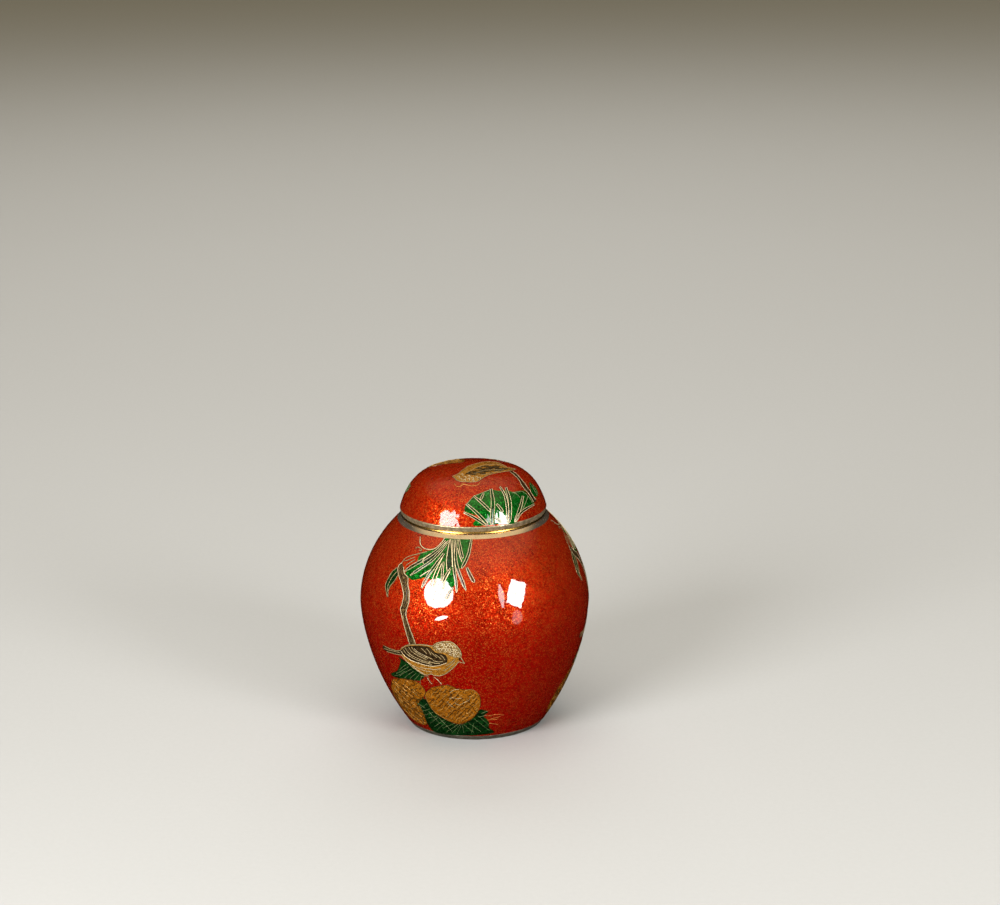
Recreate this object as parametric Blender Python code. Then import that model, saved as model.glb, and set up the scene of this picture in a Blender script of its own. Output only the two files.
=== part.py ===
"""A lidded cloisonne ginger jar: copper vessel and lid, brass rims, wires and enamel fills.

Lengths below are in millimetres and become metres when a mesh is made. The jar stands on z = 0
around the Z axis, and its pictured side faces -Y.
"""

from math import cos, pi, radians, sin

import bmesh
import bpy
import numpy as np

MM = 0.001
SPIN_SEGMENTS = 32
BODY_STATIONS = 13
DOME_STATIONS = 8

# Jar outline
BELLY_RADIUS = 43.3
BELLY_HEIGHT = 47.9
FOOT_RADIUS = 25.7
SHOULDER_STEP = 1.4
SHOULDER_HEIGHT = 79.7
LOWER_POWER = 1.65
UPPER_POWER = 1.90

# Lid outline
LID_RADIUS = 27.5
DOME_HEIGHT = 15.4
DOME_CROWN = 0.3
DOME_POWER = 6.55
DOME_EDGE_POWER = 1.05

# Walls, from the outside in
ENAMEL_COAT = 1.0
COPPER_WALL = 1.0
JAR_LINING = 0.5
LID_WALL = 0.8
LID_LINING = 0.4
FIT_GAP = 0.3

# Brass rims
FOOT_HEIGHT = 2.0
FOOT_WIDTH = 3.0
BASE_ENAMEL = 0.5
SHOULDER_RISE = 1.8
RIM_LIP = 1.0
LIP_CHAMFER = 0.3
COLLAR_WALL = 1.0
COLLAR_RISE = 2.6
COLLAR_TUCK = 1.3
LID_SLACK = 0.5
BAND_WALL = 2.4
BAND_HEIGHT = 2.7
BAND_TAPER = 0.5

# Cloison wires
WIRE_WIDTH = 0.5
WIRE_GAP = 0.15
GROUPS = ("front", "left", "right")
GROUP_TURN = -118.0
SEAM_COLUMN = 3
SLIVER = 0.04

# Heights that follow from the sizes above
COAT_BOTTOM = FOOT_HEIGHT + FIT_GAP
COAT_TOP = SHOULDER_HEIGHT - FIT_GAP
RIM_BOTTOM = COAT_TOP + FIT_GAP
RIM_TOP = RIM_BOTTOM + SHOULDER_RISE
COPPER_TOP = RIM_TOP - RIM_LIP - FIT_GAP
LINING_TOP = COPPER_TOP - COLLAR_TUCK - FIT_GAP
BAND_BOTTOM = RIM_TOP + FIT_GAP
BAND_TOP = BAND_BOTTOM + BAND_HEIGHT
DOME_BOTTOM = BAND_TOP + FIT_GAP

# Fits: the shoulder carries the lid's band, and the collar runs inside that band and through the
# copper's mouth
SHOULDER_RADIUS = LID_RADIUS + SHOULDER_STEP
BAND_BORE = LID_RADIUS - BAND_WALL
COLLAR_RADIUS = BAND_BORE - LID_SLACK
COLLAR_SEAT = COLLAR_RADIUS + FIT_GAP

# Depths of the layers below the outside
COPPER_DEPTH = ENAMEL_COAT + FIT_GAP
JAR_LINING_DEPTH = COPPER_DEPTH + COPPER_WALL + FIT_GAP
LID_LINING_DEPTH = COPPER_DEPTH + LID_WALL + FIT_GAP

# Colours: base colour, roughness, metallic
FINISHES = {
    "copper": ((0.55, 0.27, 0.16), 0.40, 1.0),
    "brass": ((0.56, 0.46, 0.30), 0.35, 1.0),
    "red_enamel": ((0.42, 0.04, 0.01), 0.15, 0.0),
    "turquoise_enamel": ((0.10, 0.42, 0.45), 0.20, 0.0),
    "green_enamel": ((0.02, 0.20, 0.05), 0.15, 0.0),
    "ochre_enamel": ((0.40, 0.20, 0.04), 0.20, 0.0),
    "brown_enamel": ((0.08, 0.03, 0.01), 0.20, 0.0),
}

# Motifs on the jar: each point is an angle from the front in degrees, positive to the right,
# and a rise in hundredths of the enamel coat's height
JAR_MOTIFS = {
    "needle_fan": ("green_enamel", [
        (-21, 96), (-3, 96), (-7, 88), (-4, 79), (-14, 76), (-19, 84),
        (-28, 78), (-33, 84), (-47, 73), (-54, 74), (-38, 90)]),
    "branch": ("brown_enamel", [
        (-39.5, 70), (-36, 70.5), (-35.5, 63), (-32, 56.5), (-35.5, 55.5), (-39, 62)]),
    "bird": ("brown_enamel", [
        (-5, 45), (-12, 54), (-20, 52), (-31, 51), (-40, 46.5), (-53, 46.5),
        (-44, 42), (-33, 38), (-26, 35.5), (-19, 36), (-11, 40)]),
    "tail_tuft": ("green_enamel", [(-47, 37.5), (-55, 31.5), (-39, 32.5), (-33, 34), (-40, 37)]),
    "left_cone": ("ochre_enamel", [
        (-47, 27.5), (-37, 28.5), (-34, 25), (-41, 17), (-42, 8), (-52, 6), (-62, 12), (-58, 22)]),
    "right_cone": ("ochre_enamel", [
        (-28, 20), (-21, 28), (-14, 29.5), (-3, 28), (3, 22.5), (3, 18), (-2, 12.5), (-9, 10),
        (-17, 11.5), (-25, 14)]),
    "lower_tuft": ("green_enamel", [
        (-36, 14), (-31, 8.5), (-18, 6), (-8, 5), (1, 8), (8, 14.5), (13, 3), (-34, 3)]),
}

# Motifs on the lid: each point is an angle from the front in degrees and a distance from the
# middle in hundredths of the lid's radius
LID_MOTIFS = {
    "lid_bird": ("brown_enamel", [
        (-34, 47), (-8, 58), (12, 48), (60, 50), (86, 52), (115, 36), (150, 33), (-120, 14)]),
    "lid_fan": ("green_enamel", [
        (-6, 91), (-4, 80), (17, 71), (29, 70), (38, 73), (60, 91), (38, 86), (22, 92)]),
    "lid_cone": ("ochre_enamel", [
        (-112, 66), (-112, 50), (-117, 37), (-134, 24), (-160, 32), (-156, 52), (-144, 68),
        (-126, 75)]),
}


def body_outline():
    """Return the jar's outside as points from below the foot to above the shoulder."""
    reach = 0.08
    heights = np.linspace(-reach * BELLY_HEIGHT, SHOULDER_HEIGHT + reach * BELLY_HEIGHT, 400)
    points = []
    for height in heights:
        above = height > BELLY_HEIGHT
        power = UPPER_POWER if above else LOWER_POWER
        end_radius = SHOULDER_RADIUS if above else FOOT_RADIUS
        span = SHOULDER_HEIGHT - BELLY_HEIGHT if above else BELLY_HEIGHT
        share = abs(height - BELLY_HEIGHT) / span
        pinch = share ** power * (1 - (end_radius / BELLY_RADIUS) ** power)
        points.append((BELLY_RADIUS * (1 - pinch) ** (1 / power), height))
    return np.array(points)


def dome_outline():
    """Return the lid's outside as points from the rim to the middle of its top."""
    points = []
    for turn in np.linspace(0, radians(90), 400):
        share = cos(turn)
        fall = DOME_CROWN * share ** 2 + (1 - DOME_CROWN) * share ** DOME_POWER
        rise = DOME_HEIGHT * max(0.0, 1 - fall) ** (1 / DOME_EDGE_POWER)
        points.append((LID_RADIUS * share, BAND_TOP + rise))
    return np.array(points)


def layer(outline, depth, low, high, stations):
    """Return an outline moved inwards by a depth and cut off at two heights."""
    along = np.gradient(outline, axis=0)
    along /= np.linalg.norm(along, axis=1)[:, None]
    inwards = np.stack([-along[:, 1], along[:, 0]], axis=1)
    moved = outline + inwards * depth
    moved = moved[moved[:, 0] >= 0]
    heights = moved[:, 1]
    inside = moved[(heights > low) & (heights < high)]
    ends = [(np.interp(low, heights, moved[:, 0]), low)]
    if high < heights[-1]:
        ends.append((np.interp(high, heights, moved[:, 0]), high))
        whole = np.vstack([ends[0], inside, ends[1]])
    else:
        whole = np.vstack([ends[0], inside, (0.0, heights[-1])])
    run = np.concatenate([[0], np.cumsum(np.linalg.norm(np.diff(whole, axis=0), axis=1))])
    places = np.linspace(0, run[-1], stations)
    radii = np.interp(places, run, whole[:, 0])
    rises = np.interp(places, run, whole[:, 1])
    return list(zip(radii, rises))


def finish(name):
    """Return the material of that name, made on first use."""
    if name in bpy.data.materials:
        return bpy.data.materials[name]
    colour, roughness, metallic = FINISHES[name]
    material = bpy.data.materials.new(name)
    material.use_nodes = True
    shader = material.node_tree.nodes["Principled BSDF"]
    shader.inputs["Base Color"].default_value = (*colour, 1.0)
    shader.inputs["Roughness"].default_value = roughness
    shader.inputs["Metallic"].default_value = metallic
    return material


def add_object(name, mesh_data, finish_name, parent=None):
    """Turn a bmesh into a named object with a material and an optional parent."""
    bmesh.ops.remove_doubles(mesh_data, verts=mesh_data.verts, dist=0.00001)
    bmesh.ops.recalc_face_normals(mesh_data, faces=mesh_data.faces)
    mesh = bpy.data.meshes.new(name)
    mesh_data.to_mesh(mesh)
    mesh_data.free()
    made = bpy.data.objects.new(name, mesh)
    made.data.materials.append(finish(finish_name))
    made.parent = parent
    bpy.context.collection.objects.link(made)
    return made


def spun(name, section, finish_name, parent=None):
    """Spin a section around the Z axis: a closed ring, or a line that starts and ends on the axis."""
    mesh_data = bmesh.new()
    points = [mesh_data.verts.new((radius * MM, 0, height * MM)) for radius, height in section]
    edges = [mesh_data.edges.new(pair) for pair in zip(points, points[1:])]
    if section[0][0] > 0:
        edges.append(mesh_data.edges.new((points[-1], points[0])))
    bmesh.ops.spin(mesh_data, geom=points + edges, cent=(0, 0, 0), axis=(0, 0, 1),
                   angle=radians(360), steps=SPIN_SEGMENTS, use_merge=True, use_duplicate=False)
    return add_object(name, mesh_data, finish_name, parent)


def grown(outline, distance):
    """Move a closed plane outline outwards by a distance, with mitred corners."""
    points = np.array(outline, dtype=float)
    following = np.roll(points, -1, axis=0)
    area = np.sum(points[:, 0] * following[:, 1] - following[:, 0] * points[:, 1])
    if area < 0:
        points = points[::-1]
    ahead = np.roll(points, -1, axis=0) - points
    ahead /= np.linalg.norm(ahead, axis=1)[:, None]
    normal_after = np.stack([ahead[:, 1], -ahead[:, 0]], axis=1)
    normal_before = np.roll(normal_after, 1, axis=0)
    corner = normal_before + normal_after
    corner /= np.maximum(np.sum(corner * normal_after, axis=1), 0.5)[:, None]
    return points + corner * distance


def flat_coat():
    """Make the jar's coat unrolled flat: x runs round the belly, y is the depth, z the height."""
    heights = [height for _, height in layer(body_outline(), 0.0, COAT_BOTTOM, COAT_TOP, BODY_STATIONS)]
    column = 2 * pi * BELLY_RADIUS / SPIN_SEGMENTS
    last = SEAM_COLUMN * column
    places = [last - column * (SPIN_SEGMENTS - index) for index in range(SPIN_SEGMENTS + 1)]
    mesh_data = bmesh.new()
    rows = [[mesh_data.verts.new((x * MM, 0, z * MM)) for x in places] for z in heights]
    for lower, upper in zip(rows, rows[1:]):
        for index in range(SPIN_SEGMENTS):
            mesh_data.faces.new((lower[index], lower[index + 1], upper[index + 1], upper[index]))
    thicken(mesh_data, (0, ENAMEL_COAT * MM, 0))
    return add_object("flat_coat", mesh_data, "red_enamel")


def thicken(mesh_data, along):
    """Turn a sheet into a block by extruding it."""
    raised = bmesh.ops.extrude_face_region(mesh_data, geom=mesh_data.faces[:], use_keep_orig=True)
    tops = [point for point in raised["geom"] if isinstance(point, bmesh.types.BMVert)]
    bmesh.ops.translate(mesh_data, verts=tops, vec=along)


def wrapped(made):
    """Roll a flat piece of coat round the jar, and join its two ends where it meets itself."""
    body = body_outline()
    under = np.array(layer(body, ENAMEL_COAT, COAT_BOTTOM, COAT_TOP, len(body)))
    mesh_data = bmesh.new()
    mesh_data.from_mesh(made.data)
    seam = SEAM_COLUMN * 2 * pi * BELLY_RADIUS / SPIN_SEGMENTS * MM
    ends = [face for face in mesh_data.faces
            if all(abs(point.co.x - seam) < MM * WIRE_GAP for point in face.verts)
            or all(abs(point.co.x - seam + 2 * pi * BELLY_RADIUS * MM) < MM * WIRE_GAP
                   for point in face.verts)]
    bmesh.ops.delete(mesh_data, geom=ends, context="FACES")
    for point in mesh_data.verts:
        turn = point.co.x / MM / BELLY_RADIUS
        height = point.co.z / MM
        outside = np.interp(height, body[:, 1], body[:, 0])
        inside = np.interp(height, under[:, 1], under[:, 0])
        radius = outside + (inside - outside) * point.co.y / MM / ENAMEL_COAT
        point.co = (radius * sin(turn) * MM, -radius * cos(turn) * MM, point.co.z)
    clean(mesh_data)
    mesh_data.to_mesh(made.data)
    mesh_data.free()


def clean(mesh_data):
    """Close up the slivers that a cut leaves, and face the mesh outwards."""
    bmesh.ops.remove_doubles(mesh_data, verts=mesh_data.verts, dist=SLIVER * MM)
    bmesh.ops.dissolve_degenerate(mesh_data, edges=mesh_data.edges, dist=SLIVER * MM)
    bmesh.ops.triangulate(mesh_data, faces=mesh_data.faces)
    bmesh.ops.recalc_face_normals(mesh_data, faces=mesh_data.faces)


def cleaned(made):
    """Clean an object's mesh in place."""
    mesh_data = bmesh.new()
    mesh_data.from_mesh(made.data)
    clean(mesh_data)
    mesh_data.to_mesh(made.data)
    mesh_data.free()


def jar_block(outline, growth):
    """Make a block that cuts a motif's outline, grown by a distance, through the flat coat."""
    coat_height = COAT_TOP - COAT_BOTTOM
    middle_rise = COAT_BOTTOM + coat_height * np.mean([rise for _, rise in outline]) / 100
    body = body_outline()
    middle_radius = np.interp(middle_rise, body[:, 1], body[:, 0])
    plane = [(radians(angle) * middle_radius, COAT_BOTTOM + coat_height * rise / 100)
             for angle, rise in outline]
    edge = grown(plane, growth)
    stretch = BELLY_RADIUS / middle_radius
    corners = [(across * stretch * MM, -ENAMEL_COAT * MM, height * MM) for across, height in edge]
    return block(corners, (0, 3 * ENAMEL_COAT * MM, 0))


def lid_block(outline, growth):
    """Make a block that cuts a motif's outline, grown by a distance, down through the lid."""
    plane = [(LID_RADIUS * share / 100 * sin(radians(angle)),
              -LID_RADIUS * share / 100 * cos(radians(angle))) for angle, share in outline]
    corners = [(x * MM, y * MM, BAND_TOP * MM) for x, y in grown(plane, growth)]
    return block(corners, (0, 0, 2 * DOME_HEIGHT * MM))


def block(corners, along):
    """Make a block from a flat outline and the way it is extruded."""
    mesh_data = bmesh.new()
    mesh_data.faces.new([mesh_data.verts.new(corner) for corner in corners])
    thicken(mesh_data, along)
    return add_object("block", mesh_data, "brass")


def boolean(made, cutter, operation):
    """Apply a Boolean to an object."""
    modifier = made.modifiers.new(operation, "BOOLEAN")
    modifier.operation = operation
    modifier.solver = "EXACT"
    modifier.object = cutter
    bpy.context.view_layer.update()
    result = bpy.data.meshes.new_from_object(made.evaluated_get(bpy.context.evaluated_depsgraph_get()))
    made.modifiers.remove(modifier)
    made.data = result


def copied(source, name, finish_name):
    """Copy an object with a new name and material."""
    made = bpy.data.objects.new(name, source.data.copy())
    made.data.materials.clear()
    made.data.materials.append(finish(finish_name))
    made.parent = source.parent
    bpy.context.collection.objects.link(made)
    return made


def inlay(coat, blank, name, finish_name, make_block):
    """Cut one motif out of a coat and set its enamel fill and its wire in the pocket."""
    fill_block = make_block(0.0)
    inner_block = make_block(WIRE_GAP)
    wire_block = make_block(WIRE_GAP + WIRE_WIDTH)
    pocket_block = make_block(2 * WIRE_GAP + WIRE_WIDTH)
    fill = copied(blank, name, finish_name)
    boolean(fill, fill_block, "INTERSECT")
    wire = copied(blank, name + "_wire", "brass")
    boolean(wire, wire_block, "INTERSECT")
    boolean(wire, inner_block, "DIFFERENCE")
    boolean(coat, pocket_block, "DIFFERENCE")
    for made, material_name in ((fill, finish_name), (wire, "brass"), (coat, "red_enamel")):
        made.data.materials.clear()
        made.data.materials.append(finish(material_name))
    for cutter in (fill_block, inner_block, wire_block, pocket_block):
        bpy.data.objects.remove(cutter)
    return fill, wire


def build_jar():
    """Build the vessel, its rims and the motifs on its side."""
    body = body_outline()
    copper_out = layer(body, COPPER_DEPTH, COAT_BOTTOM, COPPER_TOP, BODY_STATIONS)
    copper_in = layer(body, COPPER_DEPTH + COPPER_WALL, COAT_BOTTOM + COPPER_WALL, COPPER_TOP,
                      BODY_STATIONS)
    mouth = copper_in[-1]
    copper_in[-1] = (max(mouth[0], COLLAR_SEAT), mouth[1])
    spun("jar_body", [(0, COAT_BOTTOM)] + copper_out + copper_in[::-1]
         + [(0, COAT_BOTTOM + COPPER_WALL)], "copper")

    lining_floor = COAT_BOTTOM + COPPER_WALL + FIT_GAP
    lining_out = layer(body, JAR_LINING_DEPTH, lining_floor, LINING_TOP, BODY_STATIONS)
    lining_in = layer(body, JAR_LINING_DEPTH + JAR_LINING, lining_floor + JAR_LINING, LINING_TOP,
                      BODY_STATIONS)
    spun("jar_lining", [(0, lining_floor)] + lining_out + lining_in[::-1]
         + [(0, lining_floor + JAR_LINING)], "turquoise_enamel")

    foot_out = layer(body, 0.0, 0.0, FOOT_HEIGHT, 2)
    foot_inner_radius = foot_out[0][0] - FOOT_WIDTH
    spun("foot_ring", foot_out + [(foot_inner_radius, FOOT_HEIGHT), (foot_inner_radius, 0)], "brass")
    spun("base_enamel", [
        (0, FOOT_HEIGHT - BASE_ENAMEL), (foot_inner_radius - FIT_GAP, FOOT_HEIGHT - BASE_ENAMEL),
        (foot_inner_radius - FIT_GAP, FOOT_HEIGHT), (0, FOOT_HEIGHT)], "turquoise_enamel")

    rim_out = layer(body, 0.0, RIM_BOTTOM, RIM_TOP - LIP_CHAMFER, 2)
    rim_under = layer(body, ENAMEL_COAT, RIM_BOTTOM, RIM_TOP - RIM_LIP, 2)
    spun("shoulder_ring", rim_out + [
        (rim_out[-1][0] - LIP_CHAMFER, RIM_TOP), (COLLAR_SEAT, RIM_TOP),
        (COLLAR_SEAT, RIM_TOP - RIM_LIP)] + rim_under[::-1], "brass")
    collar_bottom = COPPER_TOP - COLLAR_TUCK
    collar_top = RIM_TOP + COLLAR_RISE
    collar_bore = COLLAR_RADIUS - COLLAR_WALL
    spun("neck_collar", [(COLLAR_RADIUS, collar_bottom), (COLLAR_RADIUS, collar_top),
                         (collar_bore, collar_top), (collar_bore, collar_bottom)], "brass")

    blank = flat_coat()
    coat = copied(blank, "jar_enamel", "red_enamel")
    pieces = [coat]
    for place, side in enumerate(GROUPS):
        for motif, (finish_name, outline) in JAR_MOTIFS.items():
            turned = [(angle + place * GROUP_TURN, rise) for angle, rise in outline]
            pieces += inlay(coat, blank, f"{side}_{motif}", finish_name,
                            lambda growth, points=turned: jar_block(points, growth))
    bpy.data.objects.remove(blank)
    for piece in pieces:
        wrapped(piece)


def build_lid():
    """Build the lid on an empty that stands on the axis along which it lifts."""
    lid = bpy.data.objects.new("lid_lift", None)
    bpy.context.collection.objects.link(lid)
    dome = dome_outline()
    top = BAND_TOP + DOME_HEIGHT

    def shell(name, depth, wall, finish_name):
        outside = layer(dome, depth, DOME_BOTTOM, top, DOME_STATIONS)
        inside = layer(dome, depth + wall, DOME_BOTTOM, top, DOME_STATIONS)
        return spun(name, outside[::-1] + inside, finish_name, lid)

    shell("lid_dome", COPPER_DEPTH, LID_WALL, "copper")
    shell("lid_lining", LID_LINING_DEPTH, LID_LINING, "turquoise_enamel")
    coat = shell("lid_enamel", 0.0, ENAMEL_COAT, "red_enamel")
    spun("lid_band", [(LID_RADIUS - BAND_TAPER, BAND_BOTTOM), (LID_RADIUS, BAND_TOP),
                      (BAND_BORE, BAND_TOP), (BAND_BORE, BAND_BOTTOM)], "brass", lid)

    blank = copied(coat, "lid_blank", "red_enamel")
    pieces = [coat]
    for motif, (finish_name, outline) in LID_MOTIFS.items():
        pieces += inlay(coat, blank, motif, finish_name,
                        lambda growth, points=outline: lid_block(points, growth))
    bpy.data.objects.remove(blank)
    for piece in pieces:
        cleaned(piece)


for leftover in list(bpy.data.objects):
    bpy.data.objects.remove(leftover)
build_jar()
build_lid()
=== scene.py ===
"""Looks of a small cloisonne ginger jar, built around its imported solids.

The copper vessel and the copper of its lid stay as the frame gives them. What shows is modelled
here: the fired red coats, the pictures in brass wire and enamel, the brass rims and the linings.
Lengths are in millimetres until a mesh is made. Pictures on the side that the photograph shows are
drawn in its pixels and laid on the vessel along the camera's rays, and the others are drawn flat.
"""

from __future__ import annotations

import logging
from contextlib import contextmanager
from dataclasses import dataclass, field, replace
from enum import Enum
from math import cos, pi, radians, sin, tau
from typing import Any, Iterator, Sequence

import bpy
import numpy as np
from mathutils import Matrix, Quaternion, Vector, noise

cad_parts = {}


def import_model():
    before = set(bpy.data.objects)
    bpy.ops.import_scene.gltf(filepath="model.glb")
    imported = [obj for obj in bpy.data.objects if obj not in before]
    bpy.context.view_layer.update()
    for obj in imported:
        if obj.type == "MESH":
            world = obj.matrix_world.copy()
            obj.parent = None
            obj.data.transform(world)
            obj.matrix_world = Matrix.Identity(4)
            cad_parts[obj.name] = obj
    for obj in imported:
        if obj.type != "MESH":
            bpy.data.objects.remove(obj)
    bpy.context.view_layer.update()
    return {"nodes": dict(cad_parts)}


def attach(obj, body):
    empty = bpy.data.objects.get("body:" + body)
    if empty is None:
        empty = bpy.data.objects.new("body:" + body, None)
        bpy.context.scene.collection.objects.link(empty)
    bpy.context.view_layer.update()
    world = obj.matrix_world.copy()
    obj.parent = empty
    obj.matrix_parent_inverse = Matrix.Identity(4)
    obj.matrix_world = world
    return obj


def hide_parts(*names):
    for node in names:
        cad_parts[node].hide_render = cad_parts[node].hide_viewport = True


log = logging.getLogger("ginger_jar")

Point = tuple[float, float]
Line = Sequence[Point]
Colour = tuple[float, float, float]

MM = 0.001

# How finely round pieces are drawn and turned
OUTLINE_POINTS = 700
SPIN_STEPS = 320

# Points that are merged, and the angles at which edges are eased and stay sharp
WELD_GAP = 0.002
EASED_ANGLE = radians(25)
SHARP_ANGLE = radians(38)

# How far the layers' faces stand above the red coat, and how deep they are sunk in it
FILL_RISE = 0.04
DARK_LINE_RISE = 0.06
WIRE_RISE = 0.09
LAYER_DEPTH = 0.35

# What keeps one layer clear of the next: a share of the rise for fills, a step for strips
FILL_SHARE = 0.12
STRIP_STEP = 0.003

# Hand polish: how far, and how widely, the fired coats wander from a true surface
POLISH_WAVES = ((0.022, 9.0), (0.022, 1.9))


# Shader expressions

class Signal:
    """One output socket of a node, with arithmetic on values written as expressions."""

    def __init__(self, sheet: Sheet, socket: bpy.types.NodeSocket) -> None:
        """Keeps the socket and the sheet that its node is on."""
        self.sheet = sheet
        self.socket = socket

    def other(self, name: str) -> Signal:
        """Returns another output of the same node."""
        return Signal(self.sheet, self.socket.node.outputs[name])

    def _math(self, operation: str, first: Any, second: Any) -> Signal:
        """Adds a Math node for two values, either of which may be a number."""
        return self.sheet.node("ShaderNodeMath", {"operation": operation}, {0: first, 1: second})

    def __add__(self, value: Any) -> Signal:
        """Returns this plus a value."""
        return self._math("ADD", self, value)

    def __radd__(self, value: Any) -> Signal:
        """Returns a value plus this."""
        return self._math("ADD", value, self)

    def __sub__(self, value: Any) -> Signal:
        """Returns this less a value."""
        return self._math("SUBTRACT", self, value)

    def __rsub__(self, value: Any) -> Signal:
        """Returns a value less this."""
        return self._math("SUBTRACT", value, self)

    def __mul__(self, value: Any) -> Signal:
        """Returns this times a value."""
        return self._math("MULTIPLY", self, value)

    def __rmul__(self, value: Any) -> Signal:
        """Returns a value times this."""
        return self._math("MULTIPLY", value, self)

    def span(self, low: float, high: float) -> Signal:
        """Returns 0 below one level, 1 above another, and a smooth climb between them."""
        return self.sheet.node("ShaderNodeMapRange", {"interpolation_type": "SMOOTHSTEP"},
                               {"Value": self, "From Min": low, "From Max": high})


class Sheet:
    """The node sheet of one material."""

    def __init__(self, name: str) -> None:
        """Starts a material with an empty sheet."""
        self.material = bpy.data.materials.new(name)
        self.material.use_nodes = True
        self.tree = self.material.node_tree
        self.tree.nodes.clear()

    def node(self, kind: str, settings: dict[str, Any], sockets: dict[Any, Any],
             output: int | str = 0) -> Signal:
        """Adds one node.

        Args:
            kind: the node's type.
            settings: its own properties, set before its sockets, with a ramp's colours as "stops".
            sockets: values or signals for its inputs, by name or number.
            output: the output that the result stands for.

        Returns:
            The signal of that output.
        """
        made = self.tree.nodes.new(kind)
        for name, value in settings.items():
            if name == "stops":
                self._set_stops(made.color_ramp, value)
            else:
                setattr(made, name, value)
        for name, value in sockets.items():
            if isinstance(value, Signal):
                self.tree.links.new(value.socket, made.inputs[name])
            else:
                made.inputs[name].default_value = value
        return Signal(self, made.outputs[output])

    @staticmethod
    def _set_stops(ramp: bpy.types.ColorRamp, stops: Sequence[tuple[float, Colour]]) -> None:
        """Gives a colour ramp its stops."""
        while len(ramp.elements) < len(stops):
            ramp.elements.new(1.0)
        for element, (place, colour) in zip(ramp.elements, stops):
            element.position = place
            element.color = (*colour, 1.0)

    def place(self) -> Signal:
        """Returns the object coordinates, in metres."""
        return self.node("ShaderNodeTexCoord", {}, {}, "Object")

    def height(self) -> Signal:
        """Returns the height above the foot, in metres."""
        return self.node("ShaderNodeSeparateXYZ", {}, {"Vector": self.place()}, "Z")

    def cloud(self, span: float, detail: float = 3.0, rough: float = 0.55) -> Signal:
        """Returns soft noise whose patches are about this many millimetres wide."""
        return self.node("ShaderNodeTexNoise", {"noise_dimensions": "3D"},
                         {"Vector": self.place(), "Scale": 1 / (span * MM), "Detail": detail,
                          "Roughness": rough})

    def grains(self, span: float) -> Signal:
        """Returns a random colour for each grain of about this many millimetres."""
        return self.node("ShaderNodeTexVoronoi", {"voronoi_dimensions": "3D", "feature": "F1"},
                         {"Vector": self.place(), "Scale": 1 / (span * MM)}, "Color")

    def parts(self, colour: Signal) -> tuple[Signal, Signal, Signal]:
        """Returns the three parts of a colour as values."""
        red = self.node("ShaderNodeSeparateColor", {}, {"Color": colour}, "Red")
        return red, red.other("Green"), red.other("Blue")

    def ramp(self, value: Signal, stops: Sequence[tuple[float, Colour]]) -> Signal:
        """Returns colours picked from stops by a value."""
        return self.node("ShaderNodeValToRGB", {"stops": stops}, {"Fac": value}, "Color")

    def blend(self, share: Any, first: Any, second: Any) -> Signal:
        """Returns the first colour passing to the second with a share from 0 to 1."""
        return self.node("ShaderNodeMix", {"data_type": "RGBA"},
                         {0: share, 6: opaque(first), 7: opaque(second)}, 2)

    def tilted(self, grain_colour: Signal, tilt: float) -> Signal:
        """Returns the surface's normal, tipped another way in each grain."""
        centred = self.node("ShaderNodeVectorMath", {"operation": "SUBTRACT"},
                            {0: grain_colour, 1: (0.5, 0.5, 0.5)})
        lean = self.node("ShaderNodeVectorMath", {"operation": "SCALE"},
                         {0: centred, "Scale": tilt})
        facing = self.node("ShaderNodeNewGeometry", {}, {}, "Normal")
        tipped = self.node("ShaderNodeVectorMath", {"operation": "ADD"}, {0: facing, 1: lean})
        return self.node("ShaderNodeVectorMath", {"operation": "NORMALIZE"}, {0: tipped})

    def bump(self, height: Signal, depth: float) -> Signal:
        """Returns a normal roughened by a height, whose full swing is this many millimetres."""
        return self.node("ShaderNodeBump", {},
                         {"Height": height, "Strength": 1.0, "Distance": depth * MM})

    def surface(self, **sockets: Any) -> bpy.types.Material:
        """Ends the sheet in one Principled shader.

        Args:
            sockets: its inputs, named with underscores for spaces.

        Returns:
            The finished material.
        """
        named = {name.replace("_", " "): value for name, value in sockets.items()}
        shader = self.node("ShaderNodeBsdfPrincipled", {}, named)
        end = self.tree.nodes.new("ShaderNodeOutputMaterial")
        self.tree.links.new(shader.socket, end.inputs["Surface"])
        return self.material


def opaque(colour: Any) -> Any:
    """Returns a plain colour with its fourth part, and a signal as it is."""
    return colour if isinstance(colour, Signal) else (*colour, 1.0)


# Finishes

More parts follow.
